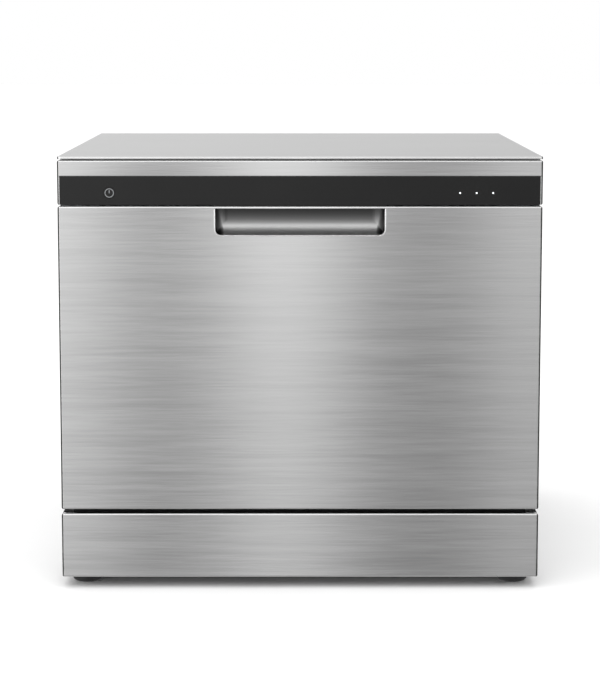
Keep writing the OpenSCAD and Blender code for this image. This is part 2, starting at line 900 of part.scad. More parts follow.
module drain_pipe() {
    y1 = back_y - sheet_t - 5;
    color([0.3, 0.3, 0.32])
        difference() {
            union() {
                rod_y(drain_joint_y, y1 - 1, drain_x, drain_pipe_z, drain_run_r);
                rod_y(y1 - spigot_l, y1, drain_x, drain_pipe_z, drain_r);
            }
            rod_y(drain_joint_y - eps, y1 + eps, drain_x, drain_pipe_z, drain_r - 2.5);
        }
}

module connection_tray() {
    y1 = back_y - sheet_t;
    low = [recess_x0 - recess_wall, recess_z0 - recess_wall];
    high = [recess_x1 + recess_wall, recess_z1 + recess_wall];
    flange = recess_cut + [recess_lap, recess_lap];
    color([0.18, 0.18, 0.19])
        difference() {
            union() {
                along_y(recess_y0, y1)
                    rectangle(low, high);
                along_y(y1 - recess_wall, y1)
                    rectangle([recess_x0, recess_z0] - flange, [recess_x1, recess_z1] + flange);
            }
            along_y(recess_y0 + recess_wall, y1 + eps)
                rectangle([recess_x0, recess_z0], [recess_x1, recess_z1]);
            rod_y(recess_y0 - eps, recess_y0 + recess_wall + eps, inlet_x, connection_z, inlet_r + clear);
            rod_y(recess_y0 - eps, recess_y0 + recess_wall + eps, drain_x, connection_z, drain_run_r + clear);
            rod_y(recess_y0 - eps, recess_y0 + recess_wall + eps, gland_x, connection_z, gland_r);
        }
}

module inlet_valve() {
    y1 = back_y - sheet_t - 6;
    body_y0 = chamber_pipe_y - 12;
    color([0.85, 0.85, 0.82])
        difference() {
            union() {
                box([inlet_x - 16, body_y0, connection_z - 14], [chamber_pipe_x + 9, recess_y0, connection_z + 14]);
                // a groove parts the hose's seat from the collar in the tray
                rod_y(recess_y0 - eps, y1 - spigot_l - 2, inlet_x, connection_z, inlet_r);
                rod_y(recess_y0, y1 - 1, inlet_x, connection_z, inlet_r - 1.5);
                rod_y(y1 - spigot_l, y1, inlet_x, connection_z, inlet_r);
                rod_z(connection_z, chamber_z0, chamber_pipe_x, chamber_pipe_y, bore_r);
                rod_z(connection_z + 13, tub_z0 - 3, inlet_x, body_y0 + 18, 13);
            }
            rod_y(chamber_pipe_y, y1 + eps, inlet_x, connection_z, bore_r);
            rod_z(connection_z, chamber_z0 + eps, chamber_pipe_x, chamber_pipe_y, bore_r - 3);
            rod_x(inlet_x, chamber_pipe_x, chamber_pipe_y, connection_z, bore_r - 3);
        }
}

module water_distributor() {
    wall = 2;
    color([0.9, 0.9, 0.88])
        difference() {
            box([chamber_x0, chamber_y0, chamber_z0], [chamber_x1, chamber_y1, chamber_z1]);
            difference() {
                box([chamber_x0 + wall, chamber_y0 + wall, chamber_z0 + wall],
                    [chamber_x1 - wall, chamber_y1 - wall, chamber_z1 - wall]);
                box([chamber_x0, chamber_y0 + 70, chamber_z0], [chamber_x1, chamber_y0 + 72, chamber_z1 - 40]);
            }
            rod_z(chamber_z0 - eps, chamber_z0 + wall + eps, chamber_pipe_x, chamber_pipe_y, bore_r - 3);
            rod_x(chamber_x0 - eps, chamber_x0 + wall + eps, vent_y, vent_z, vent_hole_r - 3);
        }
}

module tub_inlet_nut() {
    cap_t = 8;
    color([0.85, 0.86, 0.88])
        difference() {
            union() {
                rod_x(tub_in_x - cap_t, tub_in_x, vent_y, vent_z, vent_r);
                rod_x(tub_in_x - eps, chamber_x0, vent_y, vent_z, vent_hole_r - clear);
            }
            rod_x(tub_in_x - cap_t + 2, chamber_x0 + eps, vent_y, vent_z, vent_hole_r - 3);
            for (row = [-2 : 2])
                box([tub_in_x - cap_t - eps, vent_y - 9, vent_z + row * 4.4 - 0.9],
                    [tub_in_x - cap_t + 3, vent_y + 9, vent_z + row * 4.4 + 0.9]);
        }
}

module cord_gland() {
    nut_r = gland_r + 3;
    color([0.12, 0.12, 0.12])
        difference() {
            union() {
                rod_y(recess_y0 - 9, recess_y0 + 16, gland_x, connection_z, gland_r);
                rod_y(recess_y0 - 6, recess_y0, gland_x, connection_z, nut_r, $fn = 6);
                rod_y(recess_y0 + recess_wall, recess_y0 + 8, gland_x, connection_z, nut_r, $fn = 6);
            }
            rod_y(recess_y0 - 10, recess_y0 + 17, gland_x, connection_z, cord_r);
        }
}

module power_board_box() {
    wall = 2;
    low = [-tub_x + 10, tub_y0 + 10, pan_z1];
    high = low + [100, 50, 50];
    color([0.2, 0.2, 0.22])
        difference() {
            box(low, high);
            box(low + [wall, wall, wall], high - [wall, wall, wall]);
            for (i = [0 : 7])
                box([low.x + 12 + i * 10, high.y - wall - eps, low.z + 12], [low.x + 15 + i * 10, high.y + eps, high.z - 12]);
        }
}

module float_switch() {
    post_x0 = float_x - float_r - 8;
    guide_z = float_z0 + 21;
    arm_z = float_stem_z1 + float_travel + 0.5 + 6;
    color([0.85, 0.85, 0.85])
        difference() {
            union() {
                box([post_x0, float_y - 9, pan_z1], [post_x0 + 5, float_y + 9, arm_z + 3]);
                box([post_x0, float_y - 9, guide_z], [float_x + 9, float_y + 9, guide_z + 3]);
                box([post_x0, float_y - 9, arm_z], [float_x + 9, float_y + 9, arm_z + 3]);
                box([float_x - 9, float_y - 5, arm_z - 6], [float_x + 9, float_y + 5, arm_z + eps]);
            }
            rod_z(guide_z - eps, guide_z + 3 + eps, float_x, float_y, float_stem_r + running);
        }
}

module float() {
    color("white") {
        rod_z(float_z0, float_z0 + 12, float_x, float_y, float_r);
        rod_z(float_z0 + 11, float_stem_z1, float_x, float_y, float_stem_r);
    }
}

// ---- hinges ----

module hinge_brackets() {
    color("gainsboro")
        both_sides()
            difference() {
                union() {
                    rod_x(bracket_x0, bracket_x1, axis_y, axis_z, eye_r);
                    box([bracket_x0, axis_y, axis_z - eye_r], [bracket_x1, bracket_y1, axis_z + eye_r]);
                }
                rod_x(bracket_x0 - eps, bracket_x1 + eps, axis_y, axis_z, hinge_pin_r);
            }
}

module hinge_pins() {
    color("gainsboro")
        both_sides()
            rod_x(pin_x0, bracket_x1, axis_y, axis_z, hinge_pin_r);
}

// A torsion spring: one tube wound round the hinge pin.
module hinge_springs() {
    sides = 6;
    rings_per_turn = 16;
    rings = spring_turns * rings_per_turn;
    x0 = spring_x0 + spring_wire_r;
    points = [
        for (i = [0 : rings], k = [0 : sides - 1])
            let (turn = 360 * i / rings_per_turn, side = 360 * k / sides, r = spring_r + spring_wire_r * cos(side))
                [x0 + spring_pitch * i / rings_per_turn + spring_wire_r * sin(side),
                    axis_y + r * cos(turn), axis_z + r * sin(turn)]
    ];
    skin = [
        for (i = [0 : rings - 1], k = [0 : sides - 1], half = [0, 1])
            let (a = i * sides + k, b = i * sides + (k + 1) % sides)
                half == 0 ? [a, b, b + sides] : [a, b + sides, a + sides]
    ];
    first_end = [for (k = [1 : sides - 2]) [0, k + 1, k]];
    last_end = [for (k = [1 : sides - 2]) [rings * sides, rings * sides + k, rings * sides + k + 1]];
    color("dimgray")
        both_sides()
            polyhedron(points, concat(skin, first_end, last_end));
}

module door_hinge_leaves() {
    leaf_z1 = axis_z + 110;
    y0 = axis_y - eye_r;
    y1 = door_back - sheet_t;
    color("gainsboro")
        both_sides()
            difference() {
                union() {
                    rod_x(leaf_x0, leaf_x1, axis_y, axis_z, eye_r);
                    box([leaf_x0, y0, axis_z], [leaf_x1, y1, leaf_z1]);
                }
                rod_x(leaf_x0 - eps, leaf_x1 + eps, axis_y, axis_z, hinge_pin_r + running);
            }
}

// The room that a fixed bracket needs while the door turns round it.
module bracket_room() {
    both_sides()
        box([bracket_x0 - 1, axis_y - eye_r - 0.5, door_z0 - eps],
            [bracket_x1 + 1, door_back + liner_raise, axis_z + eye_r + 0.5]);
}

// ---- door ----

module door_panel() {
    panel_back = door_back - sheet_t;
    top_return = grip_hook - 1;
    color("silver")
        difference() {
            front_slab(door_z0, panel_z1, panel_back);
            front_hollow(door_z0, panel_z1, panel_back + eps);
            box([-inner_w, front_y + top_return, panel_z1 - corner_r], [inner_w, door_back, panel_z1 + eps]);
            door_chamfer();
            grip_opening();
            bracket_room();
        }
}

// What is cut off the door's lower back edge.
module door_chamfer() {
    along_x(-half_w - eps, half_w + eps)
        polygon([[door_back - chamfer - eps, door_z0 - eps], [door_back + eps, door_z0 - eps],
            [door_back + eps, door_z0 + chamfer + eps]]);
}

module grip_opening() {
    along_y(front_y - eps, front_y + 2 * sheet_t)
        difference() {
            rounded([-grip_w / 2, grip_z0], [grip_w / 2, grip_z1 + grip_corner_r], grip_corner_r);
            rectangle([-grip_w / 2 - eps, grip_z1], [grip_w / 2 + eps, grip_z1 + 2 * grip_corner_r]);
        }
}

// The hollow of the grip: a quarter-round floor that rises to a deep back, and room for the fingertips.
module grip_hollow() {
    deep_y = front_y + grip_depth;
    end_r = grip_depth - 4;
    intersection() {
        along_x(-grip_w / 2, grip_w / 2) {
            intersection() {
                translate([front_y, grip_z0 + grip_depth])
                    circle(r = grip_depth);
                rectangle([front_y, grip_z0], [deep_y, grip_z0 + grip_depth]);
            }
            rectangle([front_y, grip_z0 + grip_depth - eps], [deep_y, grip_z1]);
            rectangle([front_y + grip_hook + grip_wall, grip_z1 - eps], [deep_y, grip_z1 + grip_lift]);
        }
        along_z(grip_z0 - eps, grip_z1 + grip_lift + eps)
            rounded([-grip_w / 2, front_y - end_r * 2], [grip_w / 2, deep_y], end_r);
        along_y(front_y, deep_y)
            rounded([-grip_w / 2, grip_z0], [grip_w / 2, grip_z1 + grip_lift + grip_corner_r], grip_corner_r);
    }
}

module handle_pocket() {
    x1 = grip_w / 2 + grip_wall;
    y0 = front_y + sheet_t;
    y1 = front_y + grip_depth + grip_wall;
    z0 = grip_z0 - grip_wall;
    hook_y = front_y + grip_hook;
    color([0.5, 0.5, 0.5])
        difference() {
            union() {
                along_y(y0, y1)
                    rounded([-x1, z0], [x1, grip_z1], grip_corner_r);
                box([-x1, hook_y, grip_z1 - grip_h / 2], [x1, y1, grip_z1 + grip_lift + grip_wall]);
                box([-x1, y0, grip_z1 - grip_h / 2], [x1, y1, grip_z1]);
            }
            grip_hollow();
        }
}

module door_pad() {
    pad_t = 5;
    pad_x = half_w - 55;
    color([0.25, 0.25, 0.26])
        box([-pad_x, front_y + sheet_t, axis_z + 25], [pad_x, front_y + sheet_t + pad_t, grip_z0 - 12]);
}

// The steel sheet on the door's back: flat, folded under along the chamfer, with a raised middle.
module door_liner() {
    inner_y = door_back - sheet_t;
    fold = sheet_t * tan(22.5);
    fold_x = inner_w - corner_r + sheet_t;
    color("gainsboro")
        difference() {
            union() {
                box([-inner_w, inner_y, door_z0 + chamfer + fold], [inner_w, door_back, door_z1]);
                along_x(-fold_x, fold_x)
                    polygon([[inner_y, door_z0 + chamfer + fold], [door_back - chamfer - fold, door_z0 + sheet_t],
                        [door_back - chamfer + sheet_t, door_z0 + sheet_t], [door_back, door_z0 + chamfer],
                        [door_back, door_z0 + chamfer + fold + eps], [inner_y, door_z0 + chamfer + fold + eps]]);
                along_y(inner_y, raise_y)
                    rounded([-raise_x, raise_z0], [raise_x, raise_z1], raise_r);
            }
            along_y(inner_y - eps, raise_y - sheet_t)
                rounded([-raise_x + sheet_t, raise_z0 + sheet_t], [raise_x - sheet_t, raise_z1 - sheet_t], raise_r - sheet_t);
            box([dispenser_x0, inner_y - eps, dispenser_z0], [dispenser_x1, raise_y + eps, dispenser_z0 + dispenser_h]);
            box([-strike_half_w - 3, inner_y - eps, strike_z - 4],
                [strike_half_w + 3, door_back + eps, strike_z + strike_t + 4]);
            bracket_room();
        }
}

module fascia_bezel() {
    color("silver")
        difference() {
            front_slab(fascia_z0, door_z1, door_back - sheet_t);
            front_hollow(fascia_z0 - corner_r, door_z1, door_back);
            along_y(front_y - eps, front_y + 2 * sheet_t)
                rectangle([-half_w + band_side, fascia_z0 - eps], [half_w - band_side, band_z1]);
        }
}

module control_band() {
    x1 = half_w - band_side - 0.1;
    lip_y = front_y + grip_hook - 0.5;
    color([0.16, 0.16, 0.17])
        difference() {
            union() {
                along_y(band_y0, band_y0 + band_t)
                    rounded([-x1, fascia_z0], [x1, band_z1 - 0.1], 1.5);
                box([-x1 + 2, band_y0 + sheet_t, fascia_z0], [x1 - 2, lip_y, fascia_z0 + 1.5]);
                box([-inner_w + 0.2, front_y + sheet_t, band_z1 - 2], [inner_w - 0.2, band_y0 + band_t, band_z1 + 6]);
            }
            rod_y(front_y - eps, lip_y + eps, -key_x, controls_z, key_r + key_gap);
            light_places()
                rod_y(front_y - eps, lip_y + eps, 0, controls_z, light_r);
        }
}

module light_places() {
    for (i = [-1 : 1])
        translate([lights_x + i * lights_pitch, 0, 0])
            children();
}

module indicator_lights() {
    color("white")
        light_places()
            rod_y(band_y0 - 0.1, board_y0, 0, controls_z, light_r);
}

module power_key() {
    face_y = band_y0;
    flange_y0 = band_y0 + band_t + clear;
    color([0.12, 0.12, 0.13])
        difference() {
            union() {
                rod_y(face_y, flange_y0 + 1, -key_x, controls_z, key_r);
                rod_y(flange_y0, flange_y0 + 1.2, -key_x, controls_z, key_r + key_flange);
                rod_y(flange_y0, switch_y - key_travel - 0.2, -key_x, controls_z, 2);
            }
            difference() {
                rod_y(face_y - eps, face_y + 1, -key_x, controls_z, ring_r);
                rod_y(face_y - 2 * eps, face_y + 2, -key_x, controls_z, ring_r - ring_w);
            }
        }
}

module power_key_ring() {
    color("white")
        difference() {
            rod_y(band_y0 - 0.05, band_y0 + 1, -key_x, controls_z, ring_r);
            rod_y(band_y0 - eps, band_y0 + 1 + eps, -key_x, controls_z, ring_r - ring_w);
        }
}

module control_housing() {
    color([0.3, 0.3, 0.32])
        difference() {
            box([-housing_x1, housing_y0, housing_z0], [housing_x1, housing_y1, housing_z1]);
            box([-housing_x1 + housing_t, housing_y0 - eps, housing_z0 + housing_t],
                [housing_x1 - housing_t, board_y1, housing_z1 - housing_t]);
            rod_y(housing_y0 - eps, board_y0, -key_x, controls_z, key_r + key_flange + 2 * clear);
        }
}

module control_board() {
    chip_t = 2;
    color([0.1, 0.4, 0.2])
        box([-housing_x1 + housing_t + 1, board_y0, housing_z0 + housing_t + 0.5],
            [housing_x1 - housing_t - 1, board_y1, housing_z1 - housing_t - 0.5]);
    color([0.1, 0.1, 0.1]) {
        box([-key_x - 3, switch_y, controls_z - 3], [-key_x + 3, board_y0 + 0.5, controls_z + 3]);
        for (i = [0 : 4])
            box([-150 + i * 55, board_y0 - chip_t, controls_z], [-138 + i * 55, board_y0 + 0.5, controls_z + 8]);
    }
}

module latch_body() {
    y0 = door_back - sheet_t - 19;
    y1 = door_back - sheet_t;
    color([0.3, 0.3, 0.32]) {
        difference() {
            box([-latch_half_w, y0, latch_z0], [latch_half_w, y1, latch_z1]);
            box([-strike_half_w - 2, y0 + 1, strike_z - 2], [strike_half_w + 2, y1 + eps, strike_z + strike_t + 2]);
            box([-strike_half_w - 2, jaw_y - 6, latch_z0 + 1.2], [strike_half_w + 2, y1 - 1.5, strike_z]);
        }
        rod_x(-strike_half_w - 3, strike_half_w + 3, jaw_y, jaw_z, jaw_pin_r);
    }
}

module latch_jaw() {
    color("gainsboro")
        along_x(-5, 5)
            difference() {
                union() {
                    translate([jaw_y, jaw_z])
                        circle(r = jaw_r);
                    polygon([[jaw_y - 2.6, jaw_z], [jaw_y + 1.5, jaw_z], [jaw_y + 0.8, strike_z - 0.8], [jaw_y - 1.6, strike_z - 0.8]]);
                }
                translate([jaw_y, jaw_z])
                    circle(r = jaw_pin_r + running);
            }
}

// ---- dispenser ----

module dispenser_body() {
    wall = 2;
    flange = 4;
    cup_x0 = dispenser_x0 + 6;
    color([0.88, 0.88, 0.9])
        difference() {
            union() {
                box([dispenser_x0, dispenser_y0, dispenser_z0], [dispenser_x1, dispenser_y1, dispenser_z0 + dispenser_h]);
                box([dispenser_x0 - flange, raise_y, dispenser_z0 - flange],
                    [dispenser_x1 + flange, raise_y + 2, dispenser_z0 + dispenser_h + flange]);
            }
            box([cup_x0, dispenser_y0 + wall, lid_z0 + 2], [cup_x0 + cup_w - 8, dispenser_y1 + eps, lid_z0 + 2 + cup_h]);
            box([dispenser_x0 + 3, dispenser_y1 - track_t, lid_z0 - clear],
                [cup_x0 + cup_w - 5, dispenser_y1 + eps, lid_z0 + lid_h + lid_travel + clear]);
            box([cup_x0 + cup_w + wall, dispenser_y0 + wall, dispenser_z0 + wall],
                [dispenser_x1 - wall, dispenser_y1 - 8, dispenser_z0 + dispenser_h - wall]);
            rod_y(dispenser_y1 - 5 - clear, dispenser_y1 + eps, cap_x, cap_z, cap_r + 1);
            rod_y(dispenser_y1 - 9, dispenser_y1, cap_x, cap_z, cap_r - 6);
        }
}

module detergent_lid() {
    x0 = dispenser_x0 + 3 + clear;
    x1 = dispenser_x0 + 1 + cup_w - clear;
    color([0.8, 0.82, 0.85]) {
        box([x0, dispenser_y1 - track_t + clear, lid_z0], [x1, dispenser_y1 - clear, lid_z0 + lid_h]);
        for (i = [0 : 2])
            box([x0 + 20, dispenser_y1 - 1, lid_z0 + 8 + i * 5], [x1 - 20, dispenser_y1 + 0.8, lid_z0 + 9.5 + i * 5]);
    }
}

module rinse_aid_cap() {
    face_y = dispenser_y1 - 2.5;
    color([0.35, 0.4, 0.45]) {
        rod_y(dispenser_y1 - 5, face_y, cap_x, cap_z, cap_r);
        rod_y(dispenser_y1 - 8.5, dispenser_y1 - 4, cap_x, cap_z, cap_r - 6 - clear);
        box([cap_x - cap_r + 3, face_y - eps, cap_z - 2], [cap_x + cap_r - 3, dispenser_y1, cap_z + 2]);
    }
}

// ---- rails and rack ----

module rack_rails() {
    groove_z = rail_h / 4;
    color("gainsboro")
        both_sides()
            difference() {
                box([rail_x0, rail_y0, rail_z0], [tub_in_x, rail_y1, rail_z1]);
                box([rail_x0 - eps, rail_y0 - eps, rail_z0 + groove_z], [rail_x0 + tongue, rail_y1 + eps, rail_z1 - groove_z]);
            }
}

module rail_slides() {
    groove_z = rail_h / 4;
    color([0.7, 0.7, 0.72])
        both_sides()
            difference() {
                union() {
                    box([slide_x0, rack_y0, rail_z0 + 1], [slide_x0 + slide_t, slide_y1, rail_z1 - 1]);
                    box([slide_x0 + 1, rack_y0, rail_z0 + groove_z + clear],
                        [slide_x0 + slide_t + tongue, slide_y1, rail_z1 - groove_z - clear]);
                }
                box([slide_x0 - eps, rack_y0 - eps, rail_z0 + groove_z + 1.5],
                    [slide_x0 + tongue, slide_y1 + eps, rail_z1 - groove_z - 1.5]);
            }
}

module rack_runners() {
    groove_z = rail_h / 4;
    color("gainsboro")
        both_sides() {
            box([runner_x0, rack_y0 + 2, rail_z0 + 2], [runner_x0 + runner_t, slide_y1 - 4, rail_z1 - 2]);
            box([runner_x0 + 1, rack_y0 + 2, rail_z0 + groove_z + 1.5 + clear],
                [runner_x0 + runner_t + tongue, slide_y1 - 4, rail_z1 - groove_z - 1.5 - clear]);
        }
}

// A straight wire between two points. Its ends run on by a share of its radius, so that neighbours merge.
// The turn of its flat sides keeps their edges off those of the wire that it meets.
module wire(p, q, r = wire_r, turn = 0, run_on = [0, 0]) {
    d = q - p;
    reach = norm(d);
    translate(p)
        rotate([0, acos(d.z / reach), atan2(d.y, d.x)])
            translate([0, 0, -run_on[0] * r])
                rotate(turn)
                    cylinder(h = reach + (run_on[0] + run_on[1]) * r, r = r, $fn = wire_sides);
}

// A bent wire, cut square at both its ends.
module wire_chain(points) {
    last = len(points) - 2;
    for (i = [0 : last])
        wire(points[i], points[i + 1], wire_r, (i % 2) * side_turn, [i == 0 ? 0 : 0.5, i == last ? 0 : 0.5]);
}

// Places spread evenly between two ends, about a pitch apart.
function spread(low, high, pitch) =
    let (n = max(1, round((high - low) / pitch)))
        [for (i = [0 : n]) low + (high - low) * i / n];

// The rack is one welded piece. It is drawn as its mats, combs and eyes, a hairline apart, so that each stays slim.
module rack_basket() {
    side_x = rack_x - rim_r;
    front = rack_y0 + rim_r;
    rear = rack_y1 - rim_r;
    floor_front = front + rack_slope_y;
    mid_z = rack_z0 + rack_slope_z;
    rise = mat_z1 - rack_z0;
    bend_y = floor_front - rise * rack_slope_y / rack_slope_z;
    long_x = spread(-side_x + 14, side_x - 14, wire_pitch);
    cross_y = spread(floor_front + 12, rear - 14, wire_pitch * 2);
    color([0.75, 0.76, 0.78]) {
        rack_floor(side_x, [bend_y, floor_front, rear], long_x, cross_y);
        for (x = long_x) {
            wire([x, bend_y, mat_z1] + weld_gap * [0, -rack_slope_y, rack_slope_z] / rack_slope_z, [x, front, mid_z]);
            wire([x, front, mid_z + rim_r * flat_in + weld_gap], [x, front, rack_z1], wire_r, side_turn);
            wire([x, rear, mat_z1 + weld_gap], [x, rear, rack_z1]);
        }
        for (y = [front, rear], z = [mid_z, rack_z1])
            wire([-side_x, y, z], [side_x, y, z], rim_r, side_turn, [1, 1]);
        for (side = [-1, 1])
            rack_side_wall(side, side_x, [front, rear], cross_y, mid_z);
        for (y = tine_y)
            tine_comb(side_x, y);
        rack_eyes(side_x);
    }
}

// The floor mat: long wires, bent up at both ends, under cross wires, also bent up.
module rack_floor(side_x, y, long_x, cross_y) {
    for (x = long_x)
        wire_chain([[x, y[0], mat_z1], [x, y[1], rack_z0], [x, y[2], rack_z0], [x, y[2], mat_z1]]);
    for (y = cross_y)
        wire_chain([[-side_x, y, mat_z1], [-side_x, y, floor_wire_z], [side_x, y, floor_wire_z], [side_x, y, mat_z1]]);
    wire([-side_x, fold_y, floor_wire_z], [side_x, fold_y, floor_wire_z], wire_r, side_turn);
}

// A side mat between the end ones, with the plates that stand on the runner.
module rack_side_wall(side, side_x, y, cross_y, mid_z) {
    rim_gap = rim_r * flat_in + weld_gap;
    for (y = cross_y)
        wire([side * side_x, y, mat_z1 + weld_gap], [side * side_x, y, rack_z1]);
    for (z = [mid_z, rack_z1])
        wire([side * side_x, y[0] + rim_gap, z], [side * side_x, y[1] - rim_gap, z], rim_r, side_turn);
    for (y = [rack_y0 + 40, rack_y0 + 260])
        box([min(side * side_x, side * runner_x0), y, rail_z0 + 2],
            [max(side * side_x, side * runner_x0), y + 30, rack_z1]);
}

// A row of fixed tines on its cross wire, which lies on the floor mat.
module tine_comb(side_x, y) {
    wire([-side_x, y, comb_z], [side_x, y, comb_z], wire_r, side_turn);
    for (x = spread(-side_x + 20, cutlery_x0 - 20, wire_pitch))
        wire([x, y, comb_z], [x, y, comb_z + tine_h], tine_r);
}

// The eyes of the folding tines stand on a cross wire, and those of the cup shelf on the rim.
module rack_eyes(side_x) {
    eye_t = 4;
    eye_x = side_x - wire_r - 1;
    difference() {
        for (x = [-eye_x, eye_x - eye_t])
            box([x, fold_y - pivot_eye_r, floor_wire_z + wire_r * flat_in + weld_gap],
                [x + eye_t, fold_y + pivot_eye_r, fold_z + pivot_eye_r]);
        rod_x(-rack_x, rack_x, fold_y, fold_z, pivot_r + running);
    }
    difference() {
        for (y = [shelf_y0 + 12, shelf_y1 - 16])
            box([-side_x - 1, y, rack_z1 + rim_r * flat_in + weld_gap],
                [shelf_x + pivot_eye_r, y + eye_t, shelf_z + pivot_eye_r]);
        rod_y(shelf_y0, shelf_y1, shelf_x, shelf_z, pivot_r + running);
    }
}

module folding_tines() {
    rod_end = rack_x - rim_r - wire_r - 0.5;
    outer = rack_x - 20;
    color([0.75, 0.76, 0.78]) {
        rod_x(-rod_end, rod_end, fold_y, fold_z, pivot_r);
        for (x = spread(-outer, outer, wire_pitch))
            wire([x, fold_y, fold_z], [x, fold_y, fold_z + tine_h]);
    }
}

module cup_shelf() {
    reach_x = shelf_x + shelf_w;
    color([0.75, 0.76, 0.78]) {
        rod_y(shelf_y0 + 8, shelf_y1 - 8, shelf_x, shelf_z, pivot_r);
        for (y = spread(shelf_y0 + 24, shelf_y1 - 24, wire_pitch))
            wire([shelf_x, y, shelf_z], [reach_x, y, shelf_z], tine_r);
        for (x = [shelf_x + shelf_w / 2, reach_x])
            wire([x, shelf_y0 + 24, shelf_z], [x, shelf_y1 - 24, shelf_z], wire_r, side_turn);
    }
}

module cutlery_basket() {
    low = [cutlery_x0, cutlery_y0, cutlery_z0];
    high = low + [cutlery_w, cutlery_d, cutlery_h];
    mid_x = (low.x + high.x) / 2;
    slot_w = 8;
    bar_w = 3;
    handle_rise = 26;
    color([0.6, 0.62, 0.65]) {
        difference() {
            box(low, high);
            for (x0 = [low.x + basket_t, mid_x + basket_t / 2])
                box([x0, low.y + basket_t, low.z + basket_t],
                    [x0 + (cutlery_w - 3 * basket_t) / 2, high.y - basket_t, high.z + eps]);
            for (x = [low.x + 6 : slot_w + bar_w : high.x - 6 - slot_w], row = [0, 1])
                box([x, low.y - eps, low.z + 10 + row * (cutlery_h - 15) / 2],
                    [x + slot_w, high.y + eps, low.z + 5 + (row + 1) * (cutlery_h - 15) / 2]);
        }
        along_x(mid_x - basket_t / 2, mid_x + basket_t / 2)
            difference() {
                rounded([low.y + basket_t, high.z - 20], [high.y - basket_t, high.z + handle_rise], 10);
                rounded([low.y + 12, high.z - 2], [high.y - 12, high.z + handle_rise - 6], 6);
            }
    }
}

base_pan();
plinth();
feet();
side_panel_left();
side_panel_right();
back_panel();
top_cover();
front_crossbar();
latch_strike();
casing_screws();
tub();
tub_gasket();
sound_blanket();
hinge_brackets();
hinge_pins();
hinge_springs();
door_panel();
fascia_bezel();
control_band();
handle_pocket();
door_liner();
door_pad();
door_hinge_leaves();
control_housing();
control_board();
indicator_lights();
latch_body();
latch_jaw();
power_key();
power_key_ring();
dispenser_body();
detergent_lid();
rinse_aid_cap();
sump();
filter_plate();
filter_cylinder();
spray_hub();
spray_arm();
wash_pump();
wash_rotor();
flow_heater();
feed_pipe();
drain_pump();
drain_rotor();
drain_pipe();
connection_tray();
inlet_valve();
water_distributor();
tub_inlet_nut();
cord_gland();
power_board_box();
float_switch();
float();
rack_rails();
rail_slides();
rack_runners();
rack_basket();
folding_tines();
cup_shelf();
cutlery_basket();
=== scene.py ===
import math

import bmesh
import bpy
from mathutils import Matrix, Vector


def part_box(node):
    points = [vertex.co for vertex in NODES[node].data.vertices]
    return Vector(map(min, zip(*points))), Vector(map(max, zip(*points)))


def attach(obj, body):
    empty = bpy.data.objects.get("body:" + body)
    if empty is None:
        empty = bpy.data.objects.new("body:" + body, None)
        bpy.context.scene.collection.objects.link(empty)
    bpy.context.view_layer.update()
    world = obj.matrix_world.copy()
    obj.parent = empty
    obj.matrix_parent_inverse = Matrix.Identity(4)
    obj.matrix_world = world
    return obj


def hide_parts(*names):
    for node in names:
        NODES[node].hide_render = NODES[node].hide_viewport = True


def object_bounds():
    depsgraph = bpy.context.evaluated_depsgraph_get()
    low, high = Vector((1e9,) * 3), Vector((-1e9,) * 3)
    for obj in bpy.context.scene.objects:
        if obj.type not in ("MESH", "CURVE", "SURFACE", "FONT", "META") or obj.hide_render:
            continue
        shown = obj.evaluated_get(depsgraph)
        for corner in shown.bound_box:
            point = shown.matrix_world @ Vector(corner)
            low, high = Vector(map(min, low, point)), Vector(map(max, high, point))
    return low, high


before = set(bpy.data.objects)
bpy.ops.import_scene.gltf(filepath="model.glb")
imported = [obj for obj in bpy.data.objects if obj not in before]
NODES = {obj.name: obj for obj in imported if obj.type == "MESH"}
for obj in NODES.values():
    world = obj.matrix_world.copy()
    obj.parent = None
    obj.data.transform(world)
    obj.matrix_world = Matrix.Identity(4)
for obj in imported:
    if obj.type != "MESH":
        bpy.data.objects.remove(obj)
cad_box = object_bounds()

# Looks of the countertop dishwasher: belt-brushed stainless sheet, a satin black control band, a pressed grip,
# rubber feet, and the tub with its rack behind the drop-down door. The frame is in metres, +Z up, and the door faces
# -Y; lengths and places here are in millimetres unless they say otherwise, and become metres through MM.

MM = 0.001
HALF_W, HALF_D = cad_box[1][0] / MM, cad_box[1][1] / MM


def corners_mm(node):
    """The two far corners of a node's solids, in millimetres."""
    low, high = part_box(node)
    return Vector(low) / MM, Vector(high) / MM


# the grip's opening in millimetres: its pocket has its walls outside it and runs up behind the strip over it
GRIP_WALL, GRIP_LIFT, GRIP_CORNER_R = 2.0, 7.0, 8.0
pocket_low, pocket_high = corners_mm("handle_pocket")
grip_x = pocket_high.x - GRIP_WALL
grip_foot_z, grip_top_z = pocket_low.z + GRIP_WALL, pocket_high.z - GRIP_WALL - GRIP_LIFT

# painted shade at the front's two ends, where the outer fold turns away from the light and is painted dark: how far
# in from the side and from the front, and over what length it blends, in millimetres
PAINTED_SHADE_X, PAINTED_SHADE_X_BLEND = 2.1, 0.4
PAINTED_SHADE_Y, PAINTED_SHADE_Y_BLEND = 2.4, 0.6
# painted shade in the grip, whose top and ends lie in shade, over a painted highlight at its foot: from how far above
# its foot it darkens, how far under its top it is darkest, and the same two inwards from its ends, in millimetres
DARK_FROM_FOOT, DARK_BELOW_TOP = 4.1, 2.9
DARK_END_FROM, DARK_END_FULL = 12.0, 3.0


# ---- finishes ----

def linear(hex_colour):
    """An sRGB hex colour as linear red, green, blue and alpha."""
    parts = [int(hex_colour[i:i + 2], 16) / 255 for i in (1, 3, 5)]
    return [p / 12.92 if p <= 0.04045 else ((p + 0.055) / 1.055) ** 2.4 for p in parts] + [1.0]


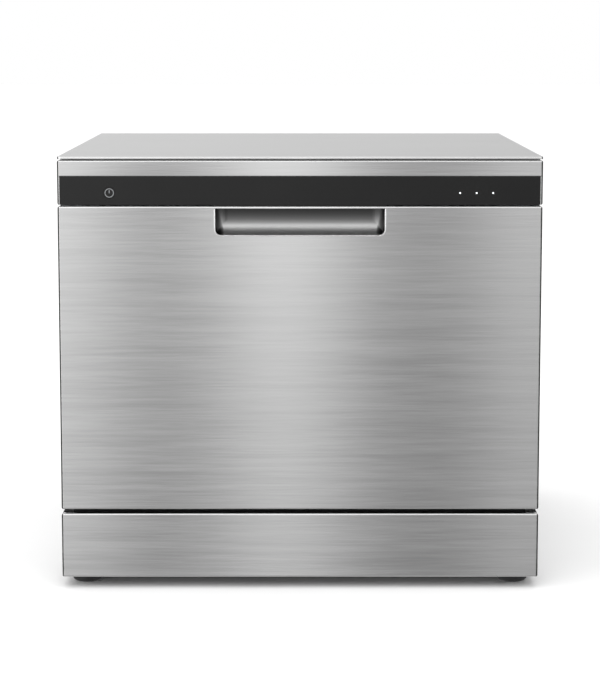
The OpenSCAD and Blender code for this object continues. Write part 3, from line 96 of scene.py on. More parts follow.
def add_node(tree, kind, inputs, **settings):
    """Adds a shader node. Its settings go on it; an input takes a number, a colour or another node's output."""
    made = tree.nodes.new(kind)
    for name, value in settings.items():
        setattr(made, name, value)
    for name, value in inputs.items():
        if isinstance(value, bpy.types.NodeSocket):
            tree.links.new(value, made.inputs[name])
        else:
            made.inputs[name].default_value = value
    return made


def begin_finish(name):
    """A new finish: the material, its empty tree, and the place on the real object in metres."""
    material = bpy.data.materials.new(name)
    material.use_nodes = True
    tree = material.node_tree
    tree.nodes.clear()
    return material, tree, add_node(tree, "ShaderNodeTexCoord", {}).outputs["Object"]


def finish_surface(tree, **sockets):
    """The shader itself, on the output."""
    surface = add_node(tree, "ShaderNodeBsdfPrincipled", {k.replace("_", " "): v for k, v in sockets.items()})
    add_node(tree, "ShaderNodeOutputMaterial", {"Surface": surface.outputs["BSDF"]})


def per_mm(*sizes):
    """The mapping scale at which one unit of a pattern covers these lengths in millimetres."""
    return [1 / (size * MM) for size in (sizes if len(sizes) == 3 else sizes * 3)]


def belt_brushed_stainless(name, scratch_mm, band_mm, dark, light, cover=False):
    """430 stainless finished on a grinding belt: level scratches draw each highlight out across them, and faint broader
    bands show where the belt took more. The outer fold at the front's two ends is painted dark, a painted shade for the
    edge that turns away from the light. A real scratch is about 0.05 mm wide; they are drawn 1.1 mm wide to show."""
    material, tree, place = begin_finish(name)
    along = add_node(tree, "ShaderNodeMapping", {"Vector": place, "Scale": per_mm(*scratch_mm)})
    scratch = add_node(tree, "ShaderNodeTexNoise", {"Vector": along.outputs["Vector"], "Scale": 1.0, "Detail": 3.0,
                                                    "Roughness": 0.65})
    wide = add_node(tree, "ShaderNodeMapping", {"Vector": place, "Scale": per_mm(*band_mm)})
    band = add_node(tree, "ShaderNodeTexNoise", {"Vector": wide.outputs["Vector"], "Scale": 1.0, "Detail": 1.0})
    grain = add_node(tree, "ShaderNodeMix", {"Factor": 0.4, "A": scratch.outputs["Fac"], "B": band.outputs["Fac"]})
    tone = add_node(tree, "ShaderNodeMapRange", {"Value": grain.outputs["Result"], "From Min": 0.38, "From Max": 0.62,
                                                 "To Min": 0.2})
    half = add_node(tree, "ShaderNodeVectorMath", {0: place}, operation="ABSOLUTE")
    spot = add_node(tree, "ShaderNodeSeparateXYZ", {"Vector": half.outputs[0]})
    inside = add_node(tree, "ShaderNodeMapRange", {"Value": spot.outputs["X"], "From Min": (HALF_W - PAINTED_SHADE_X) * MM,
                                                   "From Max": (HALF_W - PAINTED_SHADE_X + PAINTED_SHADE_X_BLEND) * MM,
                                                   "To Min": 1.0, "To Max": 0.0})
    behind = add_node(tree, "ShaderNodeMapRange", {"Value": spot.outputs["Y"], "From Min": (HALF_D - PAINTED_SHADE_Y) * MM,
                                                   "From Max": (HALF_D - PAINTED_SHADE_Y + PAINTED_SHADE_Y_BLEND) * MM,
                                                   "To Min": 1.0, "To Max": 0.0})
    # painted shade mask: 0 only on the outer fold at the front's two ends, where the base colour is painted dark
    clear_of_painted_shade = add_node(tree, "ShaderNodeMath", {0: inside.outputs["Result"], 1: behind.outputs["Result"]},
                      operation="MAXIMUM")
    tone = add_node(tree, "ShaderNodeMath", {0: tone.outputs["Result"], 1: clear_of_painted_shade.outputs[0]}, operation="MULTIPLY")
    colour = add_node(tree, "ShaderNodeValToRGB", {"Fac": tone.outputs[0]})
    # the darkest stop, #303030, is the painted shade on that fold
    colour.color_ramp.elements[0].color = linear("#303030")
    colour.color_ramp.elements[1].color = linear(light)
    colour.color_ramp.elements.new(0.2).color = linear(dark)
    gloss = add_node(tree, "ShaderNodeMapRange", {"Value": grain.outputs["Result"], "From Min": 0.38,
                                                  "From Max": 0.62, "To Min": 0.15, "To Max": 0.18})
    # folded edges are drawn 1.2 mm round, as bent sheet is
    folded = add_node(tree, "ShaderNodeBevel", {"Radius": 1.2 * MM}, samples=4)
    relief = add_node(tree, "ShaderNodeBump", {"Height": grain.outputs["Result"], "Distance": 0.006 * MM,
                                               "Strength": 0.5, "Normal": folded.outputs["Normal"]})
    level = add_node(tree, "ShaderNodeTangent", {}, direction_type="RADIAL", axis="Y" if cover else "Z")
    finish_surface(tree, Base_Color=colour.outputs["Color"], Metallic=1.0, Roughness=gloss.outputs["Result"],
                   Anisotropic=0.94, Anisotropic_Rotation=0.25, Tangent=level.outputs["Tangent"],
                   Normal=relief.outputs["Normal"])
    return material


def bright_annealed_stainless(name, dark, light):
    """304 stainless as rolled and bright annealed, then deep drawn: nearly a mirror, a little cloudy, softly wavy."""
    material, tree, place = begin_finish(name)
    slow = add_node(tree, "ShaderNodeMapping", {"Vector": place, "Scale": per_mm(45)})
    wave = add_node(tree, "ShaderNodeTexNoise", {"Vector": slow.outputs["Vector"], "Scale": 1.0, "Detail": 1.0})
    drawn = add_node(tree, "ShaderNodeMapping", {"Vector": place, "Scale": per_mm(1.2, 14, 1.2)})
    haze = add_node(tree, "ShaderNodeTexNoise", {"Vector": drawn.outputs["Vector"], "Scale": 1.0, "Detail": 3.0,
                                                 "Roughness": 0.6})
    colour = add_node(tree, "ShaderNodeValToRGB", {"Fac": haze.outputs["Fac"]})
    colour.color_ramp.elements[0].position, colour.color_ramp.elements[1].position = 0.3, 0.7
    colour.color_ramp.elements[0].color = linear(dark)
    colour.color_ramp.elements[1].color = linear(light)
    gloss = add_node(tree, "ShaderNodeMapRange", {"Value": haze.outputs["Fac"], "From Min": 0.3, "From Max": 0.7,
                                                  "To Min": 0.2, "To Max": 0.3})
    drawn_edge = add_node(tree, "ShaderNodeBevel", {"Radius": 2.5 * MM}, samples=4)
    relief = add_node(tree, "ShaderNodeBump", {"Height": wave.outputs["Fac"], "Distance": 0.35 * MM, "Strength": 0.6,
                                               "Normal": drawn_edge.outputs["Normal"]})
    finish_surface(tree, Base_Color=colour.outputs["Color"], Metallic=1.0, Roughness=gloss.outputs["Result"],
                   Normal=relief.outputs["Normal"])
    return material


def galvanised_sheet(name):
    """Hot-dip galvanised steel: grey zinc, with flower-like crystals about 9 mm across that catch the light apart."""
    material, tree, place = begin_finish(name)
    flowers = add_node(tree, "ShaderNodeMapping", {"Vector": place, "Scale": per_mm(9)})
    crystal = add_node(tree, "ShaderNodeTexVoronoi", {"Vector": flowers.outputs["Vector"], "Scale": 1.0})
    shade = add_node(tree, "ShaderNodeSeparateColor", {"Color": crystal.outputs["Color"]})
    colour = add_node(tree, "ShaderNodeValToRGB", {"Fac": shade.outputs["Red"]})
    colour.color_ramp.elements[0].color = linear("#8f9396")
    colour.color_ramp.elements[1].color = linear("#b4b8ba")
    gloss = add_node(tree, "ShaderNodeMapRange", {"Value": shade.outputs["Green"], "To Min": 0.34, "To Max": 0.5})
    pores = add_node(tree, "ShaderNodeMapping", {"Vector": place, "Scale": per_mm(0.8)})
    pore = add_node(tree, "ShaderNodeTexNoise", {"Vector": pores.outputs["Vector"], "Scale": 1.0, "Detail": 3.0})
    relief = add_node(tree, "ShaderNodeBump", {"Height": pore.outputs["Fac"], "Distance": 0.02 * MM, "Strength": 0.4})
    finish_surface(tree, Base_Color=colour.outputs["Color"], Metallic=1.0, Roughness=gloss.outputs["Result"],
                   Normal=relief.outputs["Normal"])
    return material


def zinc_plated_steel(name):
    """Rolled steel, pressed and then electro-plated with bright zinc: bluish silver with a fine rolled grain."""
    material, tree, place = begin_finish(name)
    rolled = add_node(tree, "ShaderNodeMapping", {"Vector": place, "Scale": per_mm(6, 0.6, 0.6)})
    grain = add_node(tree, "ShaderNodeTexNoise", {"Vector": rolled.outputs["Vector"], "Scale": 1.0, "Detail": 3.0,
                                                  "Roughness": 0.6})
    colour = add_node(tree, "ShaderNodeValToRGB", {"Fac": grain.outputs["Fac"]})
    colour.color_ramp.elements[0].position, colour.color_ramp.elements[1].position = 0.3, 0.7
    colour.color_ramp.elements[0].color = linear("#a6aab0")
    colour.color_ramp.elements[1].color = linear("#c4c8cb")
    gloss = add_node(tree, "ShaderNodeMapRange", {"Value": grain.outputs["Fac"], "From Min": 0.3, "From Max": 0.7,
                                                  "To Min": 0.26, "To Max": 0.38})
    pressed = add_node(tree, "ShaderNodeBevel", {"Radius": 0.5 * MM}, samples=4)
    relief = add_node(tree, "ShaderNodeBump", {"Height": grain.outputs["Fac"], "Distance": 0.015 * MM,
                                               "Strength": 0.4, "Normal": pressed.outputs["Normal"]})
    finish_surface(tree, Base_Color=colour.outputs["Color"], Metallic=1.0, Roughness=gloss.outputs["Result"],
                   Normal=relief.outputs["Normal"])
    return material


def pressed_satin_steel(name, low_z, high_z, end_x):
    """The grip's deep pressing, bead blasted, with light painted into its colour: a painted highlight along its foot,
    and painted shade that darkens it towards the top and the two ends, which lie in shade."""
    material, tree, place = begin_finish(name)
    beads = add_node(tree, "ShaderNodeMapping", {"Vector": place, "Scale": per_mm(0.5)})
    blast = add_node(tree, "ShaderNodeTexNoise", {"Vector": beads.outputs["Vector"], "Scale": 1.0, "Detail": 2.0})
    half = add_node(tree, "ShaderNodeVectorMath", {0: place}, operation="ABSOLUTE")
    spot = add_node(tree, "ShaderNodeSeparateXYZ", {"Vector": half.outputs[0]})
    rise = add_node(tree, "ShaderNodeMapRange", {"Value": spot.outputs["Z"], "From Min": low_z * MM,
                                                 "From Max": high_z * MM})
    end = add_node(tree, "ShaderNodeMapRange", {"Value": spot.outputs["X"], "From Min": (end_x - DARK_END_FROM) * MM,
                                                "From Max": (end_x - DARK_END_FULL) * MM},
                   interpolation_type="SMOOTHSTEP")
    # painted shade: grows towards the top and towards the two ends
    scale = add_node(tree, "ShaderNodeMath", {0: rise.outputs["Result"], 1: end.outputs["Result"]},
                     operation="MAXIMUM")
    colour = add_node(tree, "ShaderNodeValToRGB", {"Fac": scale.outputs[0]})
    colour.color_ramp.interpolation = "B_SPLINE"
    # the ramp paints a highlight at the foot, #ffffff, and shade down to #3c3c3c at the top and ends
    colour.color_ramp.elements[0].color = linear("#ffffff")
    colour.color_ramp.elements[1].color = linear("#3c3c3c")
    for stop, steel in ((0.12, "#f0f0f0"), (0.24, "#b4b4b4"), (0.38, "#8c8c8c"), (0.55, "#747474"), (0.75, "#525252")):
        colour.color_ramp.elements.new(stop).color = linear(steel)
    gloss = add_node(tree, "ShaderNodeMapRange", {"Value": blast.outputs["Fac"], "From Min": 0.3, "From Max": 0.7,
                                                  "To Min": 0.3, "To Max": 0.38})
    rolled_edge = add_node(tree, "ShaderNodeBevel", {"Radius": 1.5 * MM}, samples=4)
    relief = add_node(tree, "ShaderNodeBump", {"Height": blast.outputs["Fac"], "Distance": 0.01 * MM,
                                               "Strength": 0.3, "Normal": rolled_edge.outputs["Normal"]})
    finish_surface(tree, Base_Color=colour.outputs["Color"], Metallic=1.0, Roughness=gloss.outputs["Result"],
                   Normal=relief.outputs["Normal"])
    return material


def moulded_plastic(name, dark, light, roughness, grit_mm=0.9, grit_depth_mm=0.03, shine=0.5):
    """Injection-moulded ABS or polypropylene: one colour with slight flow marks, and the spark-eroded grain of the
    mould, which is about 0.1 mm in the real part and drawn 0.9 mm to show."""
    material, tree, place = begin_finish(name)
    eroded = add_node(tree, "ShaderNodeMapping", {"Vector": place, "Scale": per_mm(grit_mm)})
    grit = add_node(tree, "ShaderNodeTexNoise", {"Vector": eroded.outputs["Vector"], "Scale": 1.0, "Detail": 3.0,
                                                 "Roughness": 0.6})
    filled = add_node(tree, "ShaderNodeMapping", {"Vector": place, "Scale": per_mm(60, 25, 60)})
    flow = add_node(tree, "ShaderNodeTexNoise", {"Vector": filled.outputs["Vector"], "Scale": 1.0, "Detail": 1.0})
    colour = add_node(tree, "ShaderNodeValToRGB", {"Fac": flow.outputs["Fac"]})
    colour.color_ramp.elements[0].position, colour.color_ramp.elements[1].position = 0.3, 0.7
    colour.color_ramp.elements[0].color = linear(dark)
    colour.color_ramp.elements[1].color = linear(light)
    gloss = add_node(tree, "ShaderNodeMapRange", {"Value": grit.outputs["Fac"], "From Min": 0.3, "From Max": 0.7,
                                                  "To Min": roughness - 0.05, "To Max": roughness + 0.05})
    moulded_edge = add_node(tree, "ShaderNodeBevel", {"Radius": 0.6 * MM}, samples=4)
    relief = add_node(tree, "ShaderNodeBump", {"Height": grit.outputs["Fac"], "Distance": grit_depth_mm * MM,
                                               "Strength": 0.5, "Normal": moulded_edge.outputs["Normal"]})
    finish_surface(tree, Base_Color=colour.outputs["Color"], Roughness=gloss.outputs["Result"], IOR=1.5,
                   Specular_IOR_Level=shine, Normal=relief.outputs["Normal"])
    return material


def nylon_coated_wire(name):
    """Steel wire dipped in nylon powder and fused: light grey, softly glossy, with a faint orange peel."""
    material, tree, place = begin_finish(name)
    fused = add_node(tree, "ShaderNodeMapping", {"Vector": place, "Scale": per_mm(2.2)})
    peel = add_node(tree, "ShaderNodeTexNoise", {"Vector": fused.outputs["Vector"], "Scale": 1.0, "Detail": 1.0})
    colour = add_node(tree, "ShaderNodeValToRGB", {"Fac": peel.outputs["Fac"]})
    colour.color_ramp.elements[0].color = linear("#9d9fa1")
    colour.color_ramp.elements[1].color = linear("#acaeb0")
    gloss = add_node(tree, "ShaderNodeMapRange", {"Value": peel.outputs["Fac"], "From Min": 0.3, "From Max": 0.7,
                                                  "To Min": 0.28, "To Max": 0.36})
    relief = add_node(tree, "ShaderNodeBump", {"Height": peel.outputs["Fac"], "Distance": 0.05 * MM, "Strength": 0.5})
    finish_surface(tree, Base_Color=colour.outputs["Color"], Roughness=gloss.outputs["Result"], IOR=1.53,
                   Normal=relief.outputs["Normal"])
    return material


def cured_rubber(name, dark, bloom):
    """Vulcanised EPDM rubber: matt, with a grey bloom and a fine skin grain."""
    material, tree, place = begin_finish(name)
    pits = add_node(tree, "ShaderNodeMapping", {"Vector": place, "Scale": per_mm(0.7)})
    skin = add_node(tree, "ShaderNodeTexNoise", {"Vector": pits.outputs["Vector"], "Scale": 1.0, "Detail": 3.0,
                                                 "Roughness": 0.65})
    cloud = add_node(tree, "ShaderNodeMapping", {"Vector": place, "Scale": per_mm(11)})
    dusty = add_node(tree, "ShaderNodeTexNoise", {"Vector": cloud.outputs["Vector"], "Scale": 1.0, "Detail": 2.0})
    colour = add_node(tree, "ShaderNodeValToRGB", {"Fac": dusty.outputs["Fac"]})
    colour.color_ramp.elements[0].position, colour.color_ramp.elements[1].position = 0.4, 0.8
    colour.color_ramp.elements[0].color = linear(dark)
    colour.color_ramp.elements[1].color = linear(bloom)
    gloss = add_node(tree, "ShaderNodeMapRange", {"Value": skin.outputs["Fac"], "From Min": 0.3, "From Max": 0.7,
                                                  "To Min": 0.6, "To Max": 0.78})
    relief = add_node(tree, "ShaderNodeBump", {"Height": skin.outputs["Fac"], "Distance": 0.06 * MM, "Strength": 0.6})
    finish_surface(tree, Base_Color=colour.outputs["Color"], Roughness=gloss.outputs["Result"], IOR=1.52,
                   Normal=relief.outputs["Normal"])
    return material


def bitumen_felt(name):
    """Needled felt on bitumen: dark loose fibres about 0.1 mm thick, drawn 0.9 mm thick so that they show."""
    material, tree, place = begin_finish(name)
    laid = add_node(tree, "ShaderNodeMapping", {"Vector": place, "Scale": per_mm(0.9, 3.5, 0.9)})
    fibre = add_node(tree, "ShaderNodeTexNoise", {"Vector": laid.outputs["Vector"], "Scale": 1.0, "Detail": 4.0,
                                                  "Roughness": 0.7})
    colour = add_node(tree, "ShaderNodeValToRGB", {"Fac": fibre.outputs["Fac"]})
    colour.color_ramp.elements[0].position, colour.color_ramp.elements[1].position = 0.3, 0.7
    colour.color_ramp.elements[0].color = linear("#1e1e20")
    colour.color_ramp.elements[1].color = linear("#3d3d40")
    relief = add_node(tree, "ShaderNodeBump", {"Height": fibre.outputs["Fac"], "Distance": 0.5 * MM, "Strength": 0.9})
    finish_surface(tree, Base_Color=colour.outputs["Color"], Roughness=0.95, Sheen_Weight=0.4,
                   Normal=relief.outputs["Normal"])
    return material


def etched_screen(name, pitch_mm, hole_mm):
    """Stainless screen with etched round holes, painted dark as painted shade and sunk by bump in a satin sheet."""
    material, tree, place = begin_finish(name)
    rows = add_node(tree, "ShaderNodeMapping", {"Vector": place, "Scale": per_mm(pitch_mm)})
    cell = add_node(tree, "ShaderNodeVectorMath", {0: rows.outputs["Vector"]}, operation="FRACTION")
    centred = add_node(tree, "ShaderNodeVectorMath", {0: cell.outputs[0], 1: (0.5, 0.5, 0.5)}, operation="SUBTRACT")
    level = add_node(tree, "ShaderNodeVectorMath", {0: centred.outputs[0], 1: (1.0, 1.0, 0.0)}, operation="MULTIPLY")
    away = add_node(tree, "ShaderNodeVectorMath", {0: level.outputs[0]}, operation="LENGTH")
    rim = hole_mm / 2 / pitch_mm
    sheet = add_node(tree, "ShaderNodeMapRange", {"Value": away.outputs["Value"], "From Min": rim - 0.04,
                                                  "From Max": rim + 0.04})
    colour = add_node(tree, "ShaderNodeValToRGB", {"Fac": sheet.outputs["Result"]})
    # 141414 is painted shade in the holes
    colour.color_ramp.elements[0].color = linear("#141414")
    colour.color_ramp.elements[1].color = linear("#b9bcbf")
    gloss = add_node(tree, "ShaderNodeMapRange", {"Value": sheet.outputs["Result"], "To Min": 0.7, "To Max": 0.32})
    relief = add_node(tree, "ShaderNodeBump", {"Height": sheet.outputs["Result"], "Distance": 0.3 * MM,
                                               "Strength": 0.8})
    finish_surface(tree, Base_Color=colour.outputs["Color"], Metallic=1.0, Roughness=gloss.outputs["Result"],
                   Normal=relief.outputs["Normal"])
    return material


def solder_masked_board(name):
    """Glass-epoxy board under green solder mask, with the faint raised lines of its copper 3 mm apart."""
    material, tree, place = begin_finish(name)
    upright = add_node(tree, "ShaderNodeMapping", {"Vector": place, "Rotation": (math.pi / 2, 0, 0),
                                                   "Scale": per_mm(3)})
    copper = add_node(tree, "ShaderNodeTexBrick", {"Vector": upright.outputs["Vector"], "Scale": 1.0,
                                                   "Mortar Size": 0.06, "Color1": linear("#0f5a33"),
                                                   "Color2": linear("#0c4f2c"), "Mortar": linear("#1d7a49")})
    relief = add_node(tree, "ShaderNodeBump", {"Height": copper.outputs["Fac"], "Distance": 0.05 * MM,
                                               "Strength": 0.6})
    finish_surface(tree, Base_Color=copper.outputs["Color"], Roughness=0.3, IOR=1.55,
                   Normal=relief.outputs["Normal"])
    return material


def frosted_light_pipe(name, dark, light, glow):
    """Frosted polycarbonate in front of a small lamp: milky, and glowing evenly where the lamp is on."""
    material, tree, place = begin_finish(name)
    frosted = add_node(tree, "ShaderNodeMapping", {"Vector": place, "Scale": per_mm(0.6)})
    milk = add_node(tree, "ShaderNodeTexNoise", {"Vector": frosted.outputs["Vector"], "Scale": 1.0, "Detail": 2.0})
    colour = add_node(tree, "ShaderNodeValToRGB", {"Fac": milk.outputs["Fac"]})
    colour.color_ramp.elements[0].color = linear(dark)
    colour.color_ramp.elements[1].color = linear(light)
    relief = add_node(tree, "ShaderNodeBump", {"Height": milk.outputs["Fac"], "Distance": 0.02 * MM, "Strength": 0.4})
    finish_surface(tree, Base_Color=colour.outputs["Color"], Roughness=0.35, IOR=1.58,
                   Emission_Color=linear(light), Emission_Strength=glow, Normal=relief.outputs["Normal"])
    return material


FRONT_STEEL = belt_brushed_stainless("stainless_430_belt_brushed_front", (60, 1.1, 1.1), (220, 7, 7),
                                     "#cbcbcb", "#d5d5d5")
COVER_STEEL = belt_brushed_stainless("stainless_430_belt_brushed_cover", (60, 1.1, 1.1), (220, 7, 7),
                                     "#cbcbcb", "#d5d5d5", cover=True)
SIDE_STEEL = belt_brushed_stainless("stainless_430_belt_brushed_sides", (1.1, 60, 1.1), (7, 220, 7),
                                    "#c6c6c6", "#d2d2d2")
TUB_STEEL = bright_annealed_stainless("stainless_304_bright_annealed", "#bfc2c4", "#d3d6d8")
GALVANISED = galvanised_sheet("steel_hot_dip_galvanised")
ZINC_PLATED = zinc_plated_steel("steel_bright_zinc_plated")
# the grip's steel, with a painted highlight at its foot and painted shade at its top and ends
GRIP_STEEL = pressed_satin_steel("stainless_pressed_bead_blasted_painted_light", grip_foot_z + DARK_FROM_FOOT,
                                 grip_top_z - DARK_BELOW_TOP, grip_x)
RIM_STEEL = bright_annealed_stainless("stainless_430_rolled_rim_polished", "#dedede", "#ececec")
BAND_ABS = moulded_plastic("abs_moulded_satin_black", "#0b0b0b", "#0e0e0e", 0.2, 0.5, 0.002, 0.36)
KEY_ABS = moulded_plastic("abs_moulded_key_black", "#0c0c0c", "#0f0f0f", 0.24, 0.5, 0.003, 0.36)
BLACK_PP = moulded_plastic("polypropylene_moulded_black", "#19191a", "#202122", 0.5)
GREY_PP = moulded_plastic("polypropylene_moulded_grey", "#979ba1", "#a5a9ae", 0.4)
LIGHT_PP = moulded_plastic("polypropylene_moulded_light_grey", "#bdc1c6", "#c9ccd0", 0.36)
WHITE_PP = moulded_plastic("polypropylene_moulded_white", "#cfcfcc", "#dcdcda", 0.42)
WIRE_NYLON = nylon_coated_wire("steel_wire_nylon_coated")
FOOT_RUBBER = cured_rubber("epdm_rubber_moulded_black", "#121213", "#242427")
SEAL_RUBBER = cured_rubber("epdm_rubber_extruded_grey", "#2c2c2f", "#3a3a3e")
FELT = bitumen_felt("bitumen_felt_needled")
SCREEN = etched_screen("stainless_etched_screen", 3.0, 1.7)
BOARD = solder_masked_board("glass_epoxy_solder_masked")
LIT_PIPE = frosted_light_pipe("polycarbonate_frosted_lit", "#dfe6ea", "#f4f8fa", 0.7)
RING_PIPE = frosted_light_pipe("polycarbonate_frosted_ring", "#76787a", "#848688", 0.02)

WORN_BY = {
    FRONT_STEEL: ["door_panel", "fascia_bezel", "plinth"],
    COVER_STEEL: ["top_cover"],
    SIDE_STEEL: ["side_panel_left", "side_panel_right"],
    TUB_STEEL: ["tub", "door_liner"],
    SCREEN: ["filter_plate"],
    GALVANISED: ["back_panel", "front_crossbar", "hinge_brackets", "door_hinge_leaves"],
    ZINC_PLATED: ["latch_strike", "casing_screws", "hinge_pins", "hinge_springs", "rack_rails", "rail_slides",
                  "rack_runners", "latch_jaw", "flow_heater"],
    GRIP_STEEL: ["handle_pocket"],
    BAND_ABS: ["control_band"],
    KEY_ABS: ["power_key"],
    BLACK_PP: ["base_pan", "sump", "spray_hub", "wash_pump", "feed_pipe", "drain_pump", "drain_pipe",
               "connection_tray", "cord_gland", "power_board_box", "control_housing", "latch_body"],
    GREY_PP: ["filter_cylinder", "spray_arm", "cutlery_basket", "rinse_aid_cap"],
    LIGHT_PP: ["dispenser_body", "detergent_lid", "tub_inlet_nut"],
    WHITE_PP: ["inlet_valve", "water_distributor", "float_switch", "float", "wash_rotor", "drain_rotor"],
    FOOT_RUBBER: ["feet"],
    SEAL_RUBBER: ["tub_gasket"],
    FELT: ["sound_blanket", "door_pad"],
    BOARD: ["control_board"],
    WIRE_NYLON: ["rack_basket", "folding_tines", "cup_shelf"],
    LIT_PIPE: ["indicator_lights"],
    RING_PIPE: ["power_key_ring"],
}


def dress(piece, material):
    """Gives the whole piece one finish."""
    if not piece.material_slots:
        piece.data.materials.append(material)
    for place in piece.material_slots:
        place.material = material


for material, names in WORN_BY.items():
    for name in names:
        dress(NODES[name], material)


# ---- wire work, rounder than its solids ----

def rounded_path(points, bend, steps=6):
    """The path through the points, with each inner corner bent round."""
    path = [Vector(points[0])]
    for before, corner, after in zip(points, points[1:], points[2:]):
        corner = Vector(corner)
        back, ahead = Vector(before) - corner, Vector(after) - corner
        cut = min(bend, back.length / 2, ahead.length / 2)
        start, end = corner + back.normalized() * cut, corner + ahead.normalized() * cut
        for i in range(steps + 1):
            t = i / steps
            path.append(start * (1 - t) ** 2 + corner * 2 * t * (1 - t) + end * t * t)
    return path + [Vector(points[-1])]


def draw_wire(shape, path, radius, sides=10):
    """A round wire along the path in millimetres, with softened ends; a path that comes back to its start is one
    closed wire."""
    path = [Vector(p) for p in path]
    closed = (path[0] - path[-1]).length < 1e-6
    if closed:
        path.pop()
    count = len(path)
    rings = []
    across = None
    for i, here in enumerate(path):
        after = path[(i + 1) % count] if closed or i + 1 < count else here
        before = path[i - 1] if closed or i else here
        ahead = (after - before).normalized()
        across = across or ahead.orthogonal()
        across = (across - ahead * across.dot(ahead)).normalized()
        other = ahead.cross(across)
        spots = [(0.0, radius)]
        if not closed and i == 0:
            spots = [(0.0, radius * 0.6), (radius * 0.4, radius)]
        elif not closed and i == count - 1:
            spots = [(-radius * 0.4, radius), (0.0, radius * 0.6)]
        for shift, r in spots:
            rings.append([shape.verts.new((here + ahead * shift + (across * math.cos(a) + other * math.sin(a)) * r)
                                          * MM) for a in (2 * math.pi * k / sides for k in range(sides))])
    pairs = list(zip(rings, rings[1:]))
    if closed:
        # the first ring is turned to meet the last, so that the tube isn't twisted
        turn = min(range(sides), key=lambda t: (rings[0][t].co - rings[-1][0].co).length)
        pairs.append((rings[-1], rings[0][turn:] + rings[0][:turn]))
    for low, high in pairs:
        for k in range(sides):
            shape.faces.new((low[k], low[(k + 1) % sides], high[(k + 1) % sides], high[k]))
    if not closed:
        shape.faces.new(reversed(rings[0]))
        shape.faces.new(rings[-1])


def draw_plate(shape, low, high, soft_mm=0.6):
    """A flat plate with softened edges, between two corners in millimetres."""
    low, high = Vector(low) * MM, Vector(high) * MM
    place = Matrix.Translation((low + high) / 2) @ Matrix.Diagonal((*(high - low), 1.0))
    made = bmesh.ops.create_cube(shape, size=1.0, matrix=place)
    edges = {edge for vert in made["verts"] for edge in vert.link_edges}
    bmesh.ops.bevel(shape, geom=list(edges), offset=soft_mm * MM, segments=2, affect="EDGES", profile=0.5)


def make_piece(name, shape, material, body, stands_for=()):
    """A piece of the drawn shape: smooth where it is round, in its finish, on its body."""
    bmesh.ops.recalc_face_normals(shape, faces=shape.faces)
    for face in shape.faces:
        face.smooth = True
    for edge in shape.edges:
        edge.smooth = len(edge.link_faces) == 2 and edge.calc_face_angle(0.0) < math.radians(48)
    mesh = bpy.data.meshes.new(name)
    shape.to_mesh(mesh)
    shape.free()
    mesh.materials.append(material)
    piece = bpy.data.objects.new(name, mesh)
    bpy.context.scene.collection.objects.link(piece)
    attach(piece, body)
    if stands_for:
        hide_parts(*stands_for)
    return piece


def spread(low, high, pitch):
    """Places from low to high, as near to the pitch as an even division comes."""
    count = max(1, round((high - low) / pitch))
    return [low + (high - low) * i / count for i in range(count + 1)]


# the rack as its solids are laid out, in millimetres
WIRE_R, RIM_R, TINE_R, PIVOT_R = 1.8, 2.2, 1.6, 2.0
WIRE_PITCH, CROSS_PITCH = 30.0, 60.0
WIRE_INSET, CROSS_INSET, TINE_INSET, SHELF_INSET = 14.0, 12.0, 20.0, 16.0
WIRE_BEND, CROSS_BEND, SHELF_BEND = 12.0, 8.0, 10.0
TINE_H, TINE_TIP = 46.0, 4.0
TINE_ROWS = (120.0, 185.0)                          # back from the rack's front
FLOOR_STEP = 2.88                                   # the cross wires lie on the long ones
FRONT_SET_BACK, FRONT_RISE = 25.0, 40.0
RUNNER_ROOM = 15.0
BRACKETS, BRACKET_W = (40.0, 260.0), 30.0           # back from the rack's front
EYE_GAP, EYE_T, EYE_HALF, EYE_SOFT = 1.0, 4.0, 5.0, 1.2
RIM_UNDER_SHELF, SHELF_REACH = 6.01, 0.14
rack_low, rack_high = corners_mm("rack_basket")
runner_low = corners_mm("rack_runners")[0]
cutlery_low = corners_mm("cutlery_basket")[0]
folding_low, folding_high = corners_mm("folding_tines")
shelf_low, shelf_high = corners_mm("cup_shelf")
rack_x = -runner_low.x - RUNNER_ROOM
side_x = rack_x - RIM_R
front_y, rear_y = rack_low.y + RIM_R, rack_high.y - RIM_R
floor_z = rack_low.z + WIRE_R
cross_z = floor_z + FLOOR_STEP
rim_z = shelf_low.z - RIM_UNDER_SHELF
lower_rim_z = floor_z + FRONT_RISE
floor_front_y = front_y + FRONT_SET_BACK
fold_y, fold_z = (folding_low.y + folding_high.y) / 2, folding_low.z + PIVOT_R
shelf_x, shelf_z = shelf_low.x + PIVOT_R, shelf_low.z + PIVOT_R
shelf_reach_x = shelf_high.x - WIRE_R + SHELF_REACH

rack = bmesh.new()
for x in spread(-side_x + WIRE_INSET, side_x - WIRE_INSET, WIRE_PITCH):
    draw_wire(rack, rounded_path([(x, front_y, rim_z), (x, front_y, lower_rim_z), (x, floor_front_y, floor_z),
                                  (x, rear_y, floor_z), (x, rear_y, rim_z)], WIRE_BEND), WIRE_R)
for y in spread(floor_front_y + CROSS_INSET, rear_y - WIRE_INSET, CROSS_PITCH):
    draw_wire(rack, rounded_path([(-side_x, y, rim_z), (-side_x, y, cross_z), (side_x, y, cross_z),
                                  (side_x, y, rim_z)], CROSS_BEND), WIRE_R)
draw_wire(rack, [(-side_x, fold_y, cross_z), (side_x, fold_y, cross_z)], WIRE_R)
for z in (lower_rim_z, rim_z):
    corners = [(0, front_y, z), (side_x, front_y, z), (side_x, rear_y, z), (-side_x, rear_y, z),
               (-side_x, front_y, z), (0, front_y, z)]
    draw_wire(rack, rounded_path(corners, WIRE_BEND), RIM_R, 12)
for row in TINE_ROWS:
    y = rack_low.y + row
    draw_wire(rack, [(-side_x, y, cross_z), (side_x, y, cross_z)], WIRE_R)
    for x in spread(-side_x + TINE_INSET, cutlery_low.x - TINE_INSET, WIRE_PITCH):
        draw_wire(rack, [(x, y, cross_z), (x, y, cross_z + TINE_H - TINE_TIP), (x, y, cross_z + TINE_H)], TINE_R)
